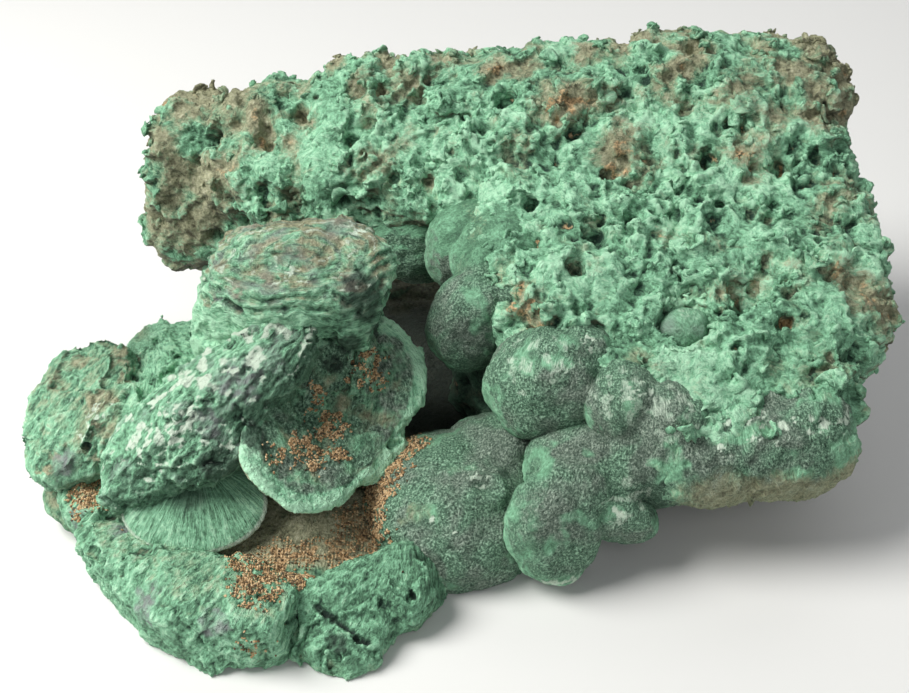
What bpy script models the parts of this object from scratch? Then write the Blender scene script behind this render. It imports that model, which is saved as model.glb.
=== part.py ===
"""A malachite specimen: one natural stone, grown in one piece.

A thick crust slab slopes forward over a lower plate. Round velvet lobes hang along the slab's front edge,
and a stack of fans and blades stands on the left of the plate. Sizes are millimetres, turned to metres once.
The origin is on the resting face, under the middle of the stone. +X runs along the slab and -Y faces front.
"""

import math

import bmesh
import bpy
from mathutils import Euler, Vector

MM = 0.001
NODE = "malachite_specimen"

# Overall frame
MIDDLE = (0.5, 0.4)  # the plan position, in the tables below, that stands over the origin
REST_Z = 0.0  # height of the flat resting face
REST_CUT = (200.0, 200.0, 40.0)  # block that trims the underside flat

# Fineness of the solid
VOXEL = 0.95
SMOOTH_PASSES = 3
KEPT_SHARE = 0.105  # share of the voxel mesh's triangles that the finished solid keeps

# Every growth is (centre, radii, turn in degrees about X, Y, Z, squareness, dish).
# Squareness 2 is an ellipsoid and 4 is close to a rounded block. Dish lifts the rim, in mm per mm squared.
SLAB = [
    ((-33.4, 29.5, 20.5), (7.2, 7.5, 11.5), (-6, 4, 4), 3.0, 0),
    ((-21.0, 27.0, 25.2), (11.5, 9.5, 8.6), (32, -5, -3), 3.0, 0),
    ((-6.0, 25.5, 27.0), (15.0, 11.5, 9.0), (32, -3, 0), 3.2, 0),
    ((25.2, 12.5, 23.3), (23.9, 21.0, 8.2), (21, 0, 0), 4.0, 0),
    ((14.0, 27.5, 31.0), (20.0, 7.5, 8.0), (12, -2, 0), 3.4, 0),
    ((35.0, 28.0, 32.0), (14.6, 7.5, 8.2), (10, 3, -2), 4.0, 0),
    ((38.0, 2.0, 19.8), (12.0, 9.0, 6.5), (18, 2, 0), 3.0, 0),
    ((28.0, -8.2, 14.8), (15.5, 10.5, 7.0), (15, 2, 0), 3.2, 0),
]
ROOT = [
    ((26.0, 9.0, 8.0), (15.0, 13.0, 11.0), (0, 0, 14), 2.6, 0),
    ((17.0, 18.0, 13.0), (9.0, 8.0, 10.0), (-18, 0, 0), 2.4, 0),
    ((36.0, 14.0, 14.0), (8.0, 9.0, 8.0), (-10, -14, 0), 2.4, 0),
    ((9.0, 4.0, 8.0), (9.0, 10.0, 9.5), (0, 0, 0), 2.2, 0),
]
LOBES = [
    ((2.6, 10.0, 22.5), (6.5, 5.5, 6.0), (0, 0, 20), 2.0, 0),
    ((-5.0, 16.5, 20.0), (6.5, 5.0, 6.0), (0, 0, 0), 2.0, 0),
    ((1.9, -1.4, 19.0), (5.0, 4.8, 6.4), (0, 18, 0), 2.0, 0),
    ((8.0, 0.0, 20.2), (7.0, 5.0, 5.8), (0, 8, 0), 2.0, 0),
    ((10.8, -9.6, 16.6), (6.7, 5.8, 6.6), (0, 0, 0), 2.0, 0),
    ((20.6, -13.2, 15.8), (8.2, 5.6, 5.0), (0, 6, -6), 2.0, 0),
    ((18.4, -16.0, 10.6), (5.0, 4.6, 5.0), (0, 0, 0), 2.0, 0),
    ((27.0, -16.6, 11.4), (7.4, 5.0, 5.4), (0, 8, 4), 2.2, 0),
    ((35.5, -15.2, 12.4), (8.5, 5.8, 6.4), (0, -4, 8), 2.4, 0),
]
PLATE = [
    ((-21.0, -16.4, 1.2), (20.2, 15.6, 4.7), (0, 0, -8), 2.2, 0),
    ((-40.4, -12.2, 3.0), (6.8, 6.0, 3.8), (0, 0, -35), 2.2, 0),
    ((0.2, -15.2, 3.0), (10.6, 10.2, 8.4), (0, 0, 20), 2.0, 0),
    ((-2.0, 8.0, 1.0), (18.0, 21.0, 3.8), (3, 0, 0), 2.2, 0),
    ((-4.0, 29.0, 2.6), (10.0, 5.0, 4.8), (0, 0, 0), 2.2, 0),
]
FRONT_LOBES = [
    ((14.6, -15.6, 10.6), (7.2, 5.0, 4.8), (0, 0, 10), 2.0, 0),
    ((10.6, -22.4, 7.2), (5.4, 3.2, 6.8), (-16, 0, 4), 2.0, 0),
    ((17.4, -20.2, 6.8), (5.2, 3.0, 3.2), (0, 26, -8), 2.0, 0),
]
FRONT_RIDGE = [
    ((-8.0, -26.8, 2.0), (7.2, 3.4, 4.6), (-36, 0, 34), 3.4, 0),
    ((-6.2, -27.4, 2.6), (3.2, 4.4, 3.6), (-20, 0, 44), 2.8, 0),
    ((-16.8, -30.2, 0.8), (4.1, 3.0, 5.5), (-38, 0, -6), 3.4, 0),
    ((-11.2, -31.6, 0.8), (5.2, 3.8, 3.2), (-30, 0, 30), 2.6, 0),
    ((-10.4, -34.6, 1.0), (3.4, 1.7, 2.5), (-24, 0, 16), 2.4, 0),
    ((-24.4, -29.8, 2.6), (8.8, 5.6, 5.4), (0, 0, -14), 2.6, 0),
    ((-33.4, -21.4, 1.6), (13.0, 5.6, 5.6), (0, 0, -54), 2.6, 0),
    ((-40.2, -15.0, 4.2), (5.6, 4.0, 4.0), (0, 8, -60), 2.4, 0),
]
STACK = [
    ((-24.0, -6.0, 8.0), (13.0, 9.5, 8.5), (0, 0, 0), 2.4, 0),
    ((-15.6, -0.6, 13.0), (7.6, 5.6, 10.5), (0, 6, 0), 2.4, 0),
    ((-13.9, -11.3, 13.2), (7.6, 13.0, 2.3), (13.1, 35.6, -25), 2.4, 0.018),
    ((-9.6, -12.6, 10.9), (4.5, 5.5, 2.0), (13.1, 35.6, -25), 2.2, 0),
    ((-17.2, -1.8, 25.0), (10.4, 7.6, 5.4), (12, -4, 0), 2.6, 0),
    ((-22.0, -3.0, 17.0), (9.0, 6.2, 8.0), (-8, 8, 0), 2.4, 0),
    ((-27.4, -14.6, 15.8), (14.0, 6.4, 4.8), (14, -30, 22), 2.6, 0),
    ((-33.4, -16.4, 11.8), (4.9, 4.6, 4.0), (0, -24, 22), 2.2, 0),
    ((-28.1, -20.3, 9.0), (8.2, 6.0, 1.9), (26, 0, -4), 2.0, -0.014),
]
LEFT_BLADES = [
    ((-42.8, -8.2, 11.6), (6.5, 9.2, 3.0), (28, -18, -14), 2.6, 0),
    ((-34.6, -0.6, 13.4), (4.8, 5.4, 2.6), (24, -6, -20), 2.4, 0),
    ((-40.2, -7.6, 7.2), (5.2, 6.6, 4.6), (0, 0, 0), 2.2, 0),
    ((-35.6, -7.6, 8.6), (3.6, 5.8, 5.6), (0, 0, 0), 2.2, 0),
]
GROWTHS = SLAB + ROOT + LOBES + PLATE + FRONT_LOBES + FRONT_RIDGE + STACK + LEFT_BLADES
SPHERE_CUTS = 3


def clear_scene():
    """Remove whatever the scene starts with."""
    for thing in list(bpy.data.objects):
        bpy.data.objects.remove(thing, do_unlink=True)


def squared(direction, power):
    """The point of a superellipsoid of unit radii that lies along a direction."""
    span = sum(abs(part) ** power for part in direction) ** (1 / power)
    return direction / span


def add_growth(mesh, centre, radii, turn, power, dish):
    """Add one closed growth to a bmesh: a superellipsoid, dished, turned and put in its place."""
    made = bmesh.ops.create_icosphere(mesh, subdivisions=SPHERE_CUTS, radius=1.0)
    spin = Euler([math.radians(angle) for angle in turn]).to_matrix()
    for vertex in made["verts"]:
        point = squared(vertex.co.normalized(), power)
        point = Vector(part * radius for part, radius in zip(point, radii))
        point.z += dish * (point.x**2 + point.y**2)
        vertex.co = spin @ point + Vector(centre)


def rough_stone():
    """All the growths in one mesh object, in metres and over the origin."""
    shape = bmesh.new()
    for growth in GROWTHS:
        add_growth(shape, *growth)
    bmesh.ops.translate(shape, vec=(-MIDDLE[0], -MIDDLE[1], 0.0), verts=shape.verts)
    bmesh.ops.scale(shape, vec=(MM, MM, MM), verts=shape.verts)
    mesh = bpy.data.meshes.new(NODE)
    shape.to_mesh(mesh)
    shape.free()
    stone = bpy.data.objects.new(NODE, mesh)
    bpy.context.collection.objects.link(stone)
    return stone


def rest_cutter():
    """The block below the resting face that is cut away, so that the stone stands on a true flat."""
    shape = bmesh.new()
    bmesh.ops.create_cube(shape, size=1.0)
    bmesh.ops.scale(shape, vec=[side * MM for side in REST_CUT], verts=shape.verts)
    bmesh.ops.translate(shape, vec=(0, 0, (REST_Z - REST_CUT[2] / 2) * MM), verts=shape.verts)
    mesh = bpy.data.meshes.new("rest_cutter")
    shape.to_mesh(mesh)
    shape.free()
    cutter = bpy.data.objects.new("rest_cutter", mesh)
    bpy.context.collection.objects.link(cutter)
    cutter.hide_render = True
    cutter.display_type = "WIRE"
    return cutter


def grow_together(stone, cutter):
    """Fuse the growths into one closed skin, thin it out and cut the resting face."""
    fuse = stone.modifiers.new("fuse_growths", "REMESH")
    fuse.mode = "VOXEL"
    fuse.voxel_size = VOXEL * MM
    soften = stone.modifiers.new("soften_joins", "SMOOTH")
    soften.iterations = SMOOTH_PASSES
    thin = stone.modifiers.new("thin_triangles", "DECIMATE")
    thin.ratio = KEPT_SHARE
    thin.use_collapse_triangulate = True
    flatten = stone.modifiers.new("cut_resting_face", "BOOLEAN")
    flatten.operation = "DIFFERENCE"
    flatten.solver = "EXACT"
    flatten.object = cutter


def malachite():
    """Green copper carbonate, dull to silky."""
    material = bpy.data.materials.new("malachite")
    material.use_nodes = True
    shader = material.node_tree.nodes["Principled BSDF"]
    shader.inputs["Base Color"].default_value = (0.10, 0.32, 0.20, 1.0)
    shader.inputs["Roughness"].default_value = 0.75
    shader.inputs["Metallic"].default_value = 0.0
    return material


def main():
    clear_scene()
    stone = rough_stone()
    grow_together(stone, rest_cutter())
    stone.data.materials.append(malachite())


main()
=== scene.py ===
"""A malachite specimen: one natural stone with a frothy crust, velvet lobes, fibrous blades and earth.

The file is laid out as a Blender add-on and is run as a script. Lengths in the tables are millimetres in
the stone's plan, and MIDDLE is the plan point that stands over the frame's origin. Properties are metres.
In a call for a pattern, the points are divided by the pattern's size and the whole number is its seed.
"""
import math

import bpy
import numpy as np
from bpy.props import FloatProperty, FloatVectorProperty, IntProperty, PointerProperty
from mathutils import Euler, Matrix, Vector


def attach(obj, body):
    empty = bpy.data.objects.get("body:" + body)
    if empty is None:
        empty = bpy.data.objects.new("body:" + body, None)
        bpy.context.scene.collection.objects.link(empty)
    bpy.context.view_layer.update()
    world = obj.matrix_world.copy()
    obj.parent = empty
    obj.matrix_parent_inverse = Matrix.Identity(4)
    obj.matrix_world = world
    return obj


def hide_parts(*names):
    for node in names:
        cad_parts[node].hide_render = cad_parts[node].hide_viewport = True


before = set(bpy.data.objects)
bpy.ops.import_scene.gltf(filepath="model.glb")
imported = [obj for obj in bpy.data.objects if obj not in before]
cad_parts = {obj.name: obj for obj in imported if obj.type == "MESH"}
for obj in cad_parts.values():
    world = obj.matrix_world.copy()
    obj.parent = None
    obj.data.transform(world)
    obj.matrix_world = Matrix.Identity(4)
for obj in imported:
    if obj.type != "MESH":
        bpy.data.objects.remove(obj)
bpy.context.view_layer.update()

bl_info = {
    "name": "Malachite Specimen",
    "version": (1, 0, 0),
    "blender": (4, 5, 0),
    "location": "3D View > Sidebar > Malachite",
    "description": "Builds a malachite specimen with crust, velvet lobes, blades, fans and earth",
    "category": "Add Mesh",
}

MM = 0.001
BODY = "root"
NODE = "malachite_specimen"
MIDDLE = np.array((0.5, 0.4, 0.0))
LIGHT_AIM = Vector((0.0, 0.0, 0.015))
SKY_COLOUR = (0.93, 0.95, 1.0, 1.0)
FLOOR_COLOUR = (0.72, 0.72, 0.70, 1.0)
CAMERA_LENS = 50.0
CAMERA_DOWN = 36.0  # degrees below level
CAMERA_AWAY = 148.0
CAMERA_AIM = (0.0, 0.0, 15.0)
REST = 0.04  # the skin's lowest height over the floor
MOST_TRIANGLES = 142000
BALL_CUTS = 5
CRUST_BALLS_CELL = 0.42  # the coarse skin that the froth is laid on
DUST_SHARE = 0.55  # how far the dust speckles the tone
FINE_BUMP = 0.00022
COARSE_BUMP = 0.00055
EARTH_BUMP = 0.0001
EARTH_HOSTS = ("lower_plate", "plate_skirt", "velvet_dome", "front_ridge", "stack_disc")
# Layers, in order: painted shade in hollows, painted highlight on crests, tone streaks that also take some
# painted light, weathering, velvet, earth, pale frost and painted light, lilac, and dark spots and painted
# shade.
LAYERS = ("hollow_shade", "crest_highlight", "streak", "brown", "velvet", "earth", "pale_and_highlight", "lilac", "dark_and_shade")

# Growths: (centre, radii, turn in degrees about X, Y, Z, squareness, dish in mm per mm squared)
WING = [
    ((-33.4, 29.5, 20.5), (7.0, 7.3, 11.3), (-6, 4, 4), 3.6, 0),
    ((-35.8, 27.6, 25.0), (4.0, 5.0, 6.4), (0, 4, 0), 3.6, 0),
    ((-30.5, 25.0, 17.0), (5.0, 4.2, 7.0), (8, 0, 10), 2.4, 0),
    ((-21.0, 27.0, 25.2), (11.5, 9.5, 8.6), (32, -5, -3), 3.0, 0),
    ((-25.0, 22.0, 22.0), (4.4, 3.6, 5.6), (12, 0, 0), 2.2, 0),
    ((-19.0, 17.8, 22.6), (6.0, 3.4, 4.2), (18, 0, 6), 2.2, 0),
]
CRUST_BACK_LEFT = [
    ((-6.0, 25.5, 27.0), (15.0, 11.5, 9.0), (32, -3, 0), 3.2, 0),
    ((-14.0, 19.0, 24.0), (6.0, 5.0, 5.0), (24, 0, 0), 2.2, 0),
    ((-3.0, 17.0, 25.0), (9.0, 5.0, 5.0), (24, 0, 0), 2.2, 0),
    ((4.0, 32.0, 33.6), (12.0, 3.4, 4.2), (0, -3, 0), 2.6, 0),
]
CRUST_BACK = [
    ((14.0, 27.5, 31.0), (20.0, 7.5, 8.0), (12, -2, 0), 3.4, 0),
    ((35.0, 28.0, 32.0), (14.4, 7.5, 8.2), (10, 3, -2), 4.0, 0),
    ((27.0, 31.0, 38.4), (5.0, 3.4, 2.2), (0, 0, 0), 2.2, 0),
    ((38.0, 31.0, 38.2), (7.0, 3.4, 2.2), (0, 4, 0), 2.2, 0),
    ((45.0, 19.5, 28.6), (3.6, 3.4, 5.4), (10, 0, 0), 2.4, 0),
]
CRUST_LEFT = [
    ((14.2, 12.5, 23.3), (12.6, 21.0, 8.2), (21, 0, 0), 4.0, 0),
    ((2.8, 20.0, 25.6), (7.0, 9.0, 7.5), (24, 0, 0), 2.8, 0),
    ((13.0, 22.0, 29.6), (15.0, 9.0, 7.0), (24, 0, 0), 3.0, 0),
    ((20.6, -6.8, 20.4), (2.3, 2.2, 2.4), (0, 0, 0), 2.0, 0),
]
CRUST_RIGHT = [
    ((36.2, 12.5, 23.3), (12.6, 21.0, 8.2), (21, 0, 0), 4.0, 0),
    ((46.6, 5.0, 24.0), (2.8, 8.0, 4.6), (20, 0, 0), 2.6, 0),
    ((34.0, 22.0, 29.8), (13.5, 9.0, 7.0), (24, 0, 0), 3.0, 0),
]
CRUST_FRONT = [
    ((27.0, -5.4, 17.2), (14.0, 9.5, 6.0), (24, 2, 0), 2.8, 0),
    ((38.0, 0.0, 19.8), (11.4, 9.0, 6.5), (20, 2, 0), 3.0, 0),
    ((29.0, -13.0, 15.2), (8.6, 5.6, 4.6), (26, 4, 6), 2.4, 0),
    ((38.4, -8.6, 17.0), (6.4, 8.4, 4.8), (26, 0, -8), 2.4, 0),
]
FRONT_EDGE = [
    ((28.0, -9.4, 13.6), (15.0, 9.5, 6.0), (15, 2, 0), 3.0, 0),
    ((35.5, -15.0, 12.6), (8.2, 5.6, 5.8), (0, -4, 8), 2.4, 0),
    ((38.8, -12.5, 13.6), (4.2, 7.0, 6.2), (10, 0, 0), 2.4, 0),
    ((27.0, -16.6, 11.6), (7.4, 4.6, 4.8), (0, 8, 4), 2.2, 0),
]
ROOT = [
    ((26.0, 9.0, 8.0), (15.0, 13.0, 11.0), (0, 0, 14), 2.6, 0),
    ((17.0, 18.0, 13.0), (9.0, 8.0, 10.0), (-18, 0, 0), 2.4, 0),
    ((36.0, 14.0, 14.0), (8.0, 9.0, 8.0), (-10, -14, 0), 2.4, 0),
    ((9.0, 4.0, 8.0), (9.0, 10.0, 9.5), (0, 0, 0), 2.2, 0),
]
LOBES_LEFT = [
    ((2.6, 10.0, 22.5), (6.5, 5.5, 6.0), (0, 0, 20), 2.0, 0),
    ((5.0, 4.6, 24.4), (5.4, 6.0, 4.4), (24, 0, 0), 2.0, 0),
    ((-5.0, 16.5, 20.0), (6.5, 5.0, 6.0), (0, 0, 0), 2.0, 0),
    ((1.7, -1.2, 19.4), (4.7, 4.8, 6.0), (0, 18, 0), 2.1, 0),
    ((8.0, 0.0, 20.2), (7.0, 5.0, 5.8), (0, 8, 0), 2.0, 0),
    ((10.4, -9.4, 16.8), (6.9, 5.8, 6.4), (0, 0, 0), 2.1, 0),
    ((13.6, -7.4, 19.4), (4.2, 4.2, 3.8), (0, 0, 0), 2.0, 0),
]
LOBES_RIGHT = [
    ((18.0, -12.8, 17.0), (4.4, 4.6, 4.4), (0, 6, -6), 2.0, 0),
    ((22.6, -13.6, 15.2), (5.6, 5.2, 4.6), (0, 6, -6), 2.0, 0),
    ((18.4, -16.0, 10.6), (5.0, 4.6, 5.0), (0, 0, 0), 2.0, 0),
    ((22.0, -15.6, 11.0), (5.6, 4.8, 5.4), (0, 0, 0), 2.0, 0),
]
PLATE = [
    ((-21.0, -16.4, 1.2), (20.0, 15.4, 4.5), (0, 0, -8), 2.2, 0),
    ((-12.8, -28.6, 0.8), (6.0, 4.8, 2.2), (-14, 0, 20), 2.6, 0),
    ((-40.4, -12.2, 3.0), (6.8, 6.0, 3.8), (0, 0, -35), 2.2, 0),
    ((-2.0, 8.0, 1.0), (18.0, 21.0, 3.6), (3, 0, 0), 2.2, 0),
    # This back rise fills the view under the slab and is blackened in the plate's build: a dark block
    # standing for the shade there.
    ((-4.0, 29.0, 2.6), (10.0, 5.0, 4.6), (0, 0, 0), 2.2, 0),
]
SKIRT = [
    ((-33.4, -21.4, 1.4), (12.8, 5.4, 5.2), (0, 0, -54), 2.8, 0),
    ((-24.4, -29.8, 2.6), (8.6, 5.4, 5.2), (0, 0, -14), 2.8, 0),
    ((-40.2, -15.0, 4.2), (5.4, 3.8, 3.8), (0, 8, -60), 2.6, 0),
    ((-29.4, -26.0, 3.4), (6.4, 4.2, 3.2), (20, 0, -40), 2.4, 0),
    ((-20.6, -31.8, 3.0), (3.4, 3.4, 4.4), (12, 0, -20), 4.0, 0),
    ((-28.2, -29.4, 2.6), (3.8, 3.2, 4.4), (10, 0, -38), 4.0, 0),
    ((-36.4, -22.6, 3.0), (4.2, 3.2, 4.2), (8, 0, -55), 4.0, 0),
]
DOME = [
    ((0.2, -15.2, 3.0), (10.6, 10.2, 8.4), (0, 0, 20), 2.0, 0),
    ((2.4, -18.0, 8.8), (4.4, 4.0, 2.4), (14, 8, 0), 2.0, 0),
    ((5.0, -11.0, 6.4), (7.0, 6.0, 6.0), (0, 0, 0), 2.0, 0),
]
FRONT_LOBES = [
    ((14.6, -15.6, 10.6), (7.2, 5.0, 4.8), (0, 0, 10), 2.0, 0),
    ((10.6, -22.4, 7.4), (5.2, 2.8, 6.6), (-16, 0, 4), 2.1, 0),
    ((12.6, -19.8, 10.4), (4.6, 3.2, 4.0), (-10, 20, 0), 2.0, 0),
    ((17.6, -20.2, 7.4), (4.8, 2.8, 3.0), (0, 26, -8), 2.0, 0),
]
FRONT_RIDGE = [
    ((-8.0, -26.8, 2.0), (7.0, 3.2, 4.4), (-36, 0, 34), 4.2, 0),
    ((-6.2, -27.4, 2.6), (3.0, 4.2, 3.4), (-20, 0, 44), 3.0, 0),
    ((-16.8, -30.2, 0.8), (3.9, 2.8, 5.3), (-38, 0, -6), 4.0, 0),
    ((-11.2, -31.6, 0.6), (5.0, 3.6, 3.0), (-30, 0, 30), 2.8, 0),
    ((-10.4, -34.6, 0.9), (3.2, 1.5, 2.3), (-24, 0, 16), 2.6, 0),
]
RIDGE_CRACKS = [
    ((-12.6, -31.9, 3.0), (3.6, 0.45, 2.6), (0, 0, -32), 2.0, 0),
    ((-9.6, -34.0, 2.2), (1.6, 0.45, 2.0), (0, 0, -8), 2.0, 0),
    ((-16.4, -31.6, 3.0), (0.4, 2.0, 2.6), (0, 0, 12), 2.0, 0),
    ((-4.4, -29.4, 3.4), (0.4, 1.3, 2.0), (0, 0, 30), 2.0, 0),
]
KNOB = [
    ((-17.2, -1.8, 25.6), (10.2, 7.2, 4.6), (12, -4, 0), 3.0, 0),
    ((-14.0, -2.6, 27.6), (7.6, 5.4, 2.2), (8, 6, 0), 2.6, 0),
    ((-22.6, -3.4, 18.8), (6.8, 5.0, 7.4), (-8, 8, 0), 2.4, 0),
    ((-25.6, -1.4, 22.4), (3.4, 4.0, 4.8), (0, 12, 0), 2.2, 0),
    ((-10.6, -0.4, 27.0), (3.6, 3.8, 3.2), (0, 0, 0), 2.2, 0),
    ((-15.6, -0.6, 13.0), (7.4, 5.4, 10.3), (0, 6, 0), 2.4, 0),
    ((-24.0, -6.0, 8.0), (12.0, 9.0, 8.0), (0, 0, 0), 2.4, 0),
    ((-11.2, -5.0, 22.6), (3.0, 3.0, 4.6), (0, 0, 0), 2.2, 0),
]
DISC = [
    ((-13.9, -11.3, 13.2), (7.5, 13.0, 1.4), (13.1, 35.6, -25), 2.7, 0.020),
    ((-9.6, -12.6, 10.9), (4.4, 5.4, 1.3), (13.1, 35.6, -25), 2.2, 0),
    ((-14.6, -8.2, 11.4), (5.4, 7.4, 2.0), (13.1, 35.6, -25), 2.0, 0),
    ((-11.4, -6.0, 18.8), (0.8, 5.6, 1.7), (56, 14, 8), 2.0, 0),
    ((-13.6, -5.4, 19.4), (0.8, 5.4, 1.6), (58, 6, 2), 2.0, 0),
    ((-9.0, -5.0, 18.4), (0.7, 5.4, 1.5), (54, 24, 14), 2.0, 0),
    ((-15.6, -6.6, 19.0), (0.8, 4.0, 1.6), (52, 0, -8), 2.0, 0),
]
LONG_BLADE = [
    ((-27.2, -14.4, 15.4), (14.2, 5.6, 5.2), (30, -30, 26), 1.75, 0),
    ((-28.6, -13.6, 16.0), (11.0, 5.0, 3.2), (6, -30, 22), 2.2, 0),
    ((-33.4, -16.4, 11.8), (4.6, 4.4, 3.8), (10, -24, 22), 2.0, 0),
    ((-20.6, -11.2, 20.6), (6.0, 4.6, 3.2), (20, -24, 34), 2.0, 0),
    ((-18.0, -8.0, 22.4), (4.4, 3.0, 2.6), (20, -20, 44), 2.0, 0),
    ((-26.0, -18.2, 14.6), (5.6, 3.2, 2.6), (34, -20, 20), 2.0, 0),
]
FAN = [
    ((-28.1, -20.2, 9.2), (8.1, 5.9, 1.0), (26, 0, -4), 2.0, -0.016),
]
LEFT_BLADES = [
    ((-42.8, -8.2, 11.8), (6.3, 9.0, 2.4), (28, -18, -14), 3.0, 0),
    ((-39.4, -11.8, 12.6), (2.2, 5.4, 2.4), (30, 14, -24), 2.0, 0),
    ((-43.0, -13.2, 9.0), (4.6, 3.4, 2.4), (24, -10, 0), 2.2, 0),
    ((-34.8, -0.4, 13.4), (4.2, 5.2, 1.9), (24, -10, -20), 2.2, 0),
    ((-32.2, -3.0, 13.8), (4.4, 1.9, 1.3), (14, -16, 34), 1.8, 0),
    ((-33.4, 1.8, 15.4), (4.4, 1.7, 1.2), (10, -14, 28), 1.8, 0),
    ((-40.2, -7.2, 7.2), (4.6, 6.2, 4.4), (0, 0, 0), 2.2, 0),
    ((-35.6, -7.6, 8.6), (3.4, 5.6, 5.4), (0, 0, 0), 2.2, 0),
]
BUBBLE = [
    ((25.5, -5.8, 21.4), (2.9, 2.5, 2.3), (12, 0, 0), 2.0, 0),
]

# Finishes: base tone, share of strands, share of hairs, size of the specks in metres, sheen, bump
FINISHES = {
    "frothy_crust": (0.50, 0.9, 0.8, 0.0004, 0.05, 0.7),
    "velvet": (0.38, 0.4, 0.6, 0.00024, 0.25, 0.7),
    "fibrous": (0.47, 1.3, 0.9, 0.00035, 0.05, 0.8),
    "plate_rock": (0.32, 0.9, 0.7, 0.0004, 0.05, 0.8),
}

# Spots of colour, and of painted shade and light: (centre x, y, z, radius)
EARTH_SPOTS = [
    (-5.6, -12.0, 8.4, 2.4), (-6.8, -15.0, 7.6, 2.6), (-8.0, -18.0, 6.6, 2.2), (-9.6, -20.8, 5.6, 2.2),
    (-12.4, -23.0, 5.0, 1.9), (-15.6, -24.0, 5.2, 1.8), (-18.8, -24.6, 5.6, 2.2),
    (-21.4, -27.2, 5.8, 2.2), (-20.4, -30.6, 6.4, 2.2), (-20.2, -34.0, 3.4, 2.0),
    (-11.0, -18.6, 5.4, 2.0), (-8.4, -15.0, 6.6, 2.0), (-39.8, -17.4, 7.0, 2.2),
    (-17.5, -27.6, 6.0, 2.0),
]
LILAC_SPOTS = [
    (-40.2, -18.3, 4.8, 2.6), (-30.5, -31.0, 4.8, 2.4), (-23.8, -34.5, 5.8, 1.7),
    (-22.2, -15.0, 21.4, 2.8), (-25.8, -17.6, 18.0, 2.0), (-36.0, -22.0, 6.0, 1.6),
    (-42.6, -15.4, 10.4, 1.8),
]
PALE_SPOTS = [
    (2.7, -18.3, 11.0, 1.7), (0.6, -19.7, 10.4, 0.7), (-2.1, -22.4, 8.5, 0.8), (0.1, -23.6, 7.6, 0.8),
    (-4.0, -18.0, 9.0, 0.6), (17.5, -22.2, 9.1, 1.3), (27.7, -19.5, 15.8, 1.4),
    (31.3, -19.0, 16.8, 1.1), (33.8, -19.7, 16.7, 1.1), (37.6, -19.0, 15.6, 0.8),
    (-10.5, 1.2, 29.8, 2.0), (-29.5, -18.4, 18.4, 3.0), (-33.0, -18.4, 16.0, 2.2),
    (-39.1, -11.2, 14.7, 1.7), (-40.4, -13.6, 13.4, 1.4), (14.4, -9.6, 22.6, 1.3),
    (18.6, -15.4, 20.4, 1.3), (20.4, -14.8, 20.2, 1.3), (11.0, -25.6, 9.4, 0.6), (3.0, -4.4, 22.6, 0.7),
    (-14.0, -5.0, 30.4, 1.0), (-18.4, -6.4, 29.8, 1.6), (-24.6, -19.6, 16.2, 0.7),
    (-22.8, -19.4, 15.0, 0.8),
]
DARK_SPOTS = [
    (-10.2, -6.6, 26.6, 3.4), (-9.4, -4.6, 23.0, 3.6), (-11.6, -6.8, 21.4, 2.4),
    (-13.4, -8.2, 18.4, 1.3), (-24.4, -20.6, 14.8, 2.6), (-20.6, -18.6, 16.6, 2.2),
    (-37.2, -12.4, 11.0, 2.4), (-37.8, -8.6, 12.4, 1.6), (-21.6, -12.6, 22.2, 1.3),
    (-11.9, -34.8, 4.4, 1.8), (5.0, -17.2, 10.0, 1.2),
]
DISC_EARTH = [
    (-15.4, -17.4, 14.0, 2.2), (-13.5, -13.5, 15.0, 2.4), (-9.5, -6.9, 16.8, 2.2),
    (-19.4, -19.0, 14.0, 1.8), (-12.0, -16.6, 12.8, 1.4), (-15.0, -11.0, 17.0, 1.4),
]
# Painted shade: spots where the velvet lobes are darkened
SHADY_SPOTS = [
    (1.7, -1.2, 18.4, 6.5), (22.0, -16.6, 10.0, 6.0), (9.0, -10.0, 10.6, 5.0),
]
# Painted light: spots where the velvet lobes are lightened
LIT_SPOTS = [
    (23.0, -16.6, 18.4, 4.6), (17.6, -15.0, 19.6, 4.0), (9.0, -12.0, 22.0, 4.6),
    (18.0, -20.6, 9.6, 3.4),
]
CRUST_PITS = [
    (15.4, -7.3, 21.9, 1.5), (8.5, 2.6, 27.3, 1.5), (24.9, -3.5, 25.2, 1.4), (36.2, -6.6, 22.7, 1.6),
    (13.4, -1.0, 26.3, 1.2), (8.7, 7.9, 29.5, 1.4), (6.1, 21.1, 36.5, 1.8), (32.0, -3.4, 25.2, 2.4),
    (30.2, -9.6, 21.0, 1.0), (25.5, -6.4, 23.4, 3.2), (40.0, 4.0, 26.4, 1.6), (22.9, -6.4, 22.8, 1.3),
    (38.6, -1.4, 24.8, 1.6), (18.6, 12.0, 31.0, 1.4), (30.0, 14.0, 32.2, 1.8), (44.0, 12.0, 30.0, 1.4),
]
# Spots where the froth is calmer; the crust is also painted paler there, partly a paler tone and partly
# painted light on slopes turned away from the lamps.
CALM_LIT_SPOTS = [
    (28.6, -16.0, 18.4, 5.0), (33.0, -3.0, 25.2, 2.6), (25.0, 5.0, 27.6, 3.0), (4.0, 12.0, 28.0, 4.6),
    (24.0, -11.4, 20.4, 3.4), (34.0, 12.0, 31.0, 5.0), (8.0, 24.0, 33.0, 4.0), (22.0, 20.0, 34.0, 3.6),
    (-10.0, 22.0, 31.0, 4.0),
]

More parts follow.
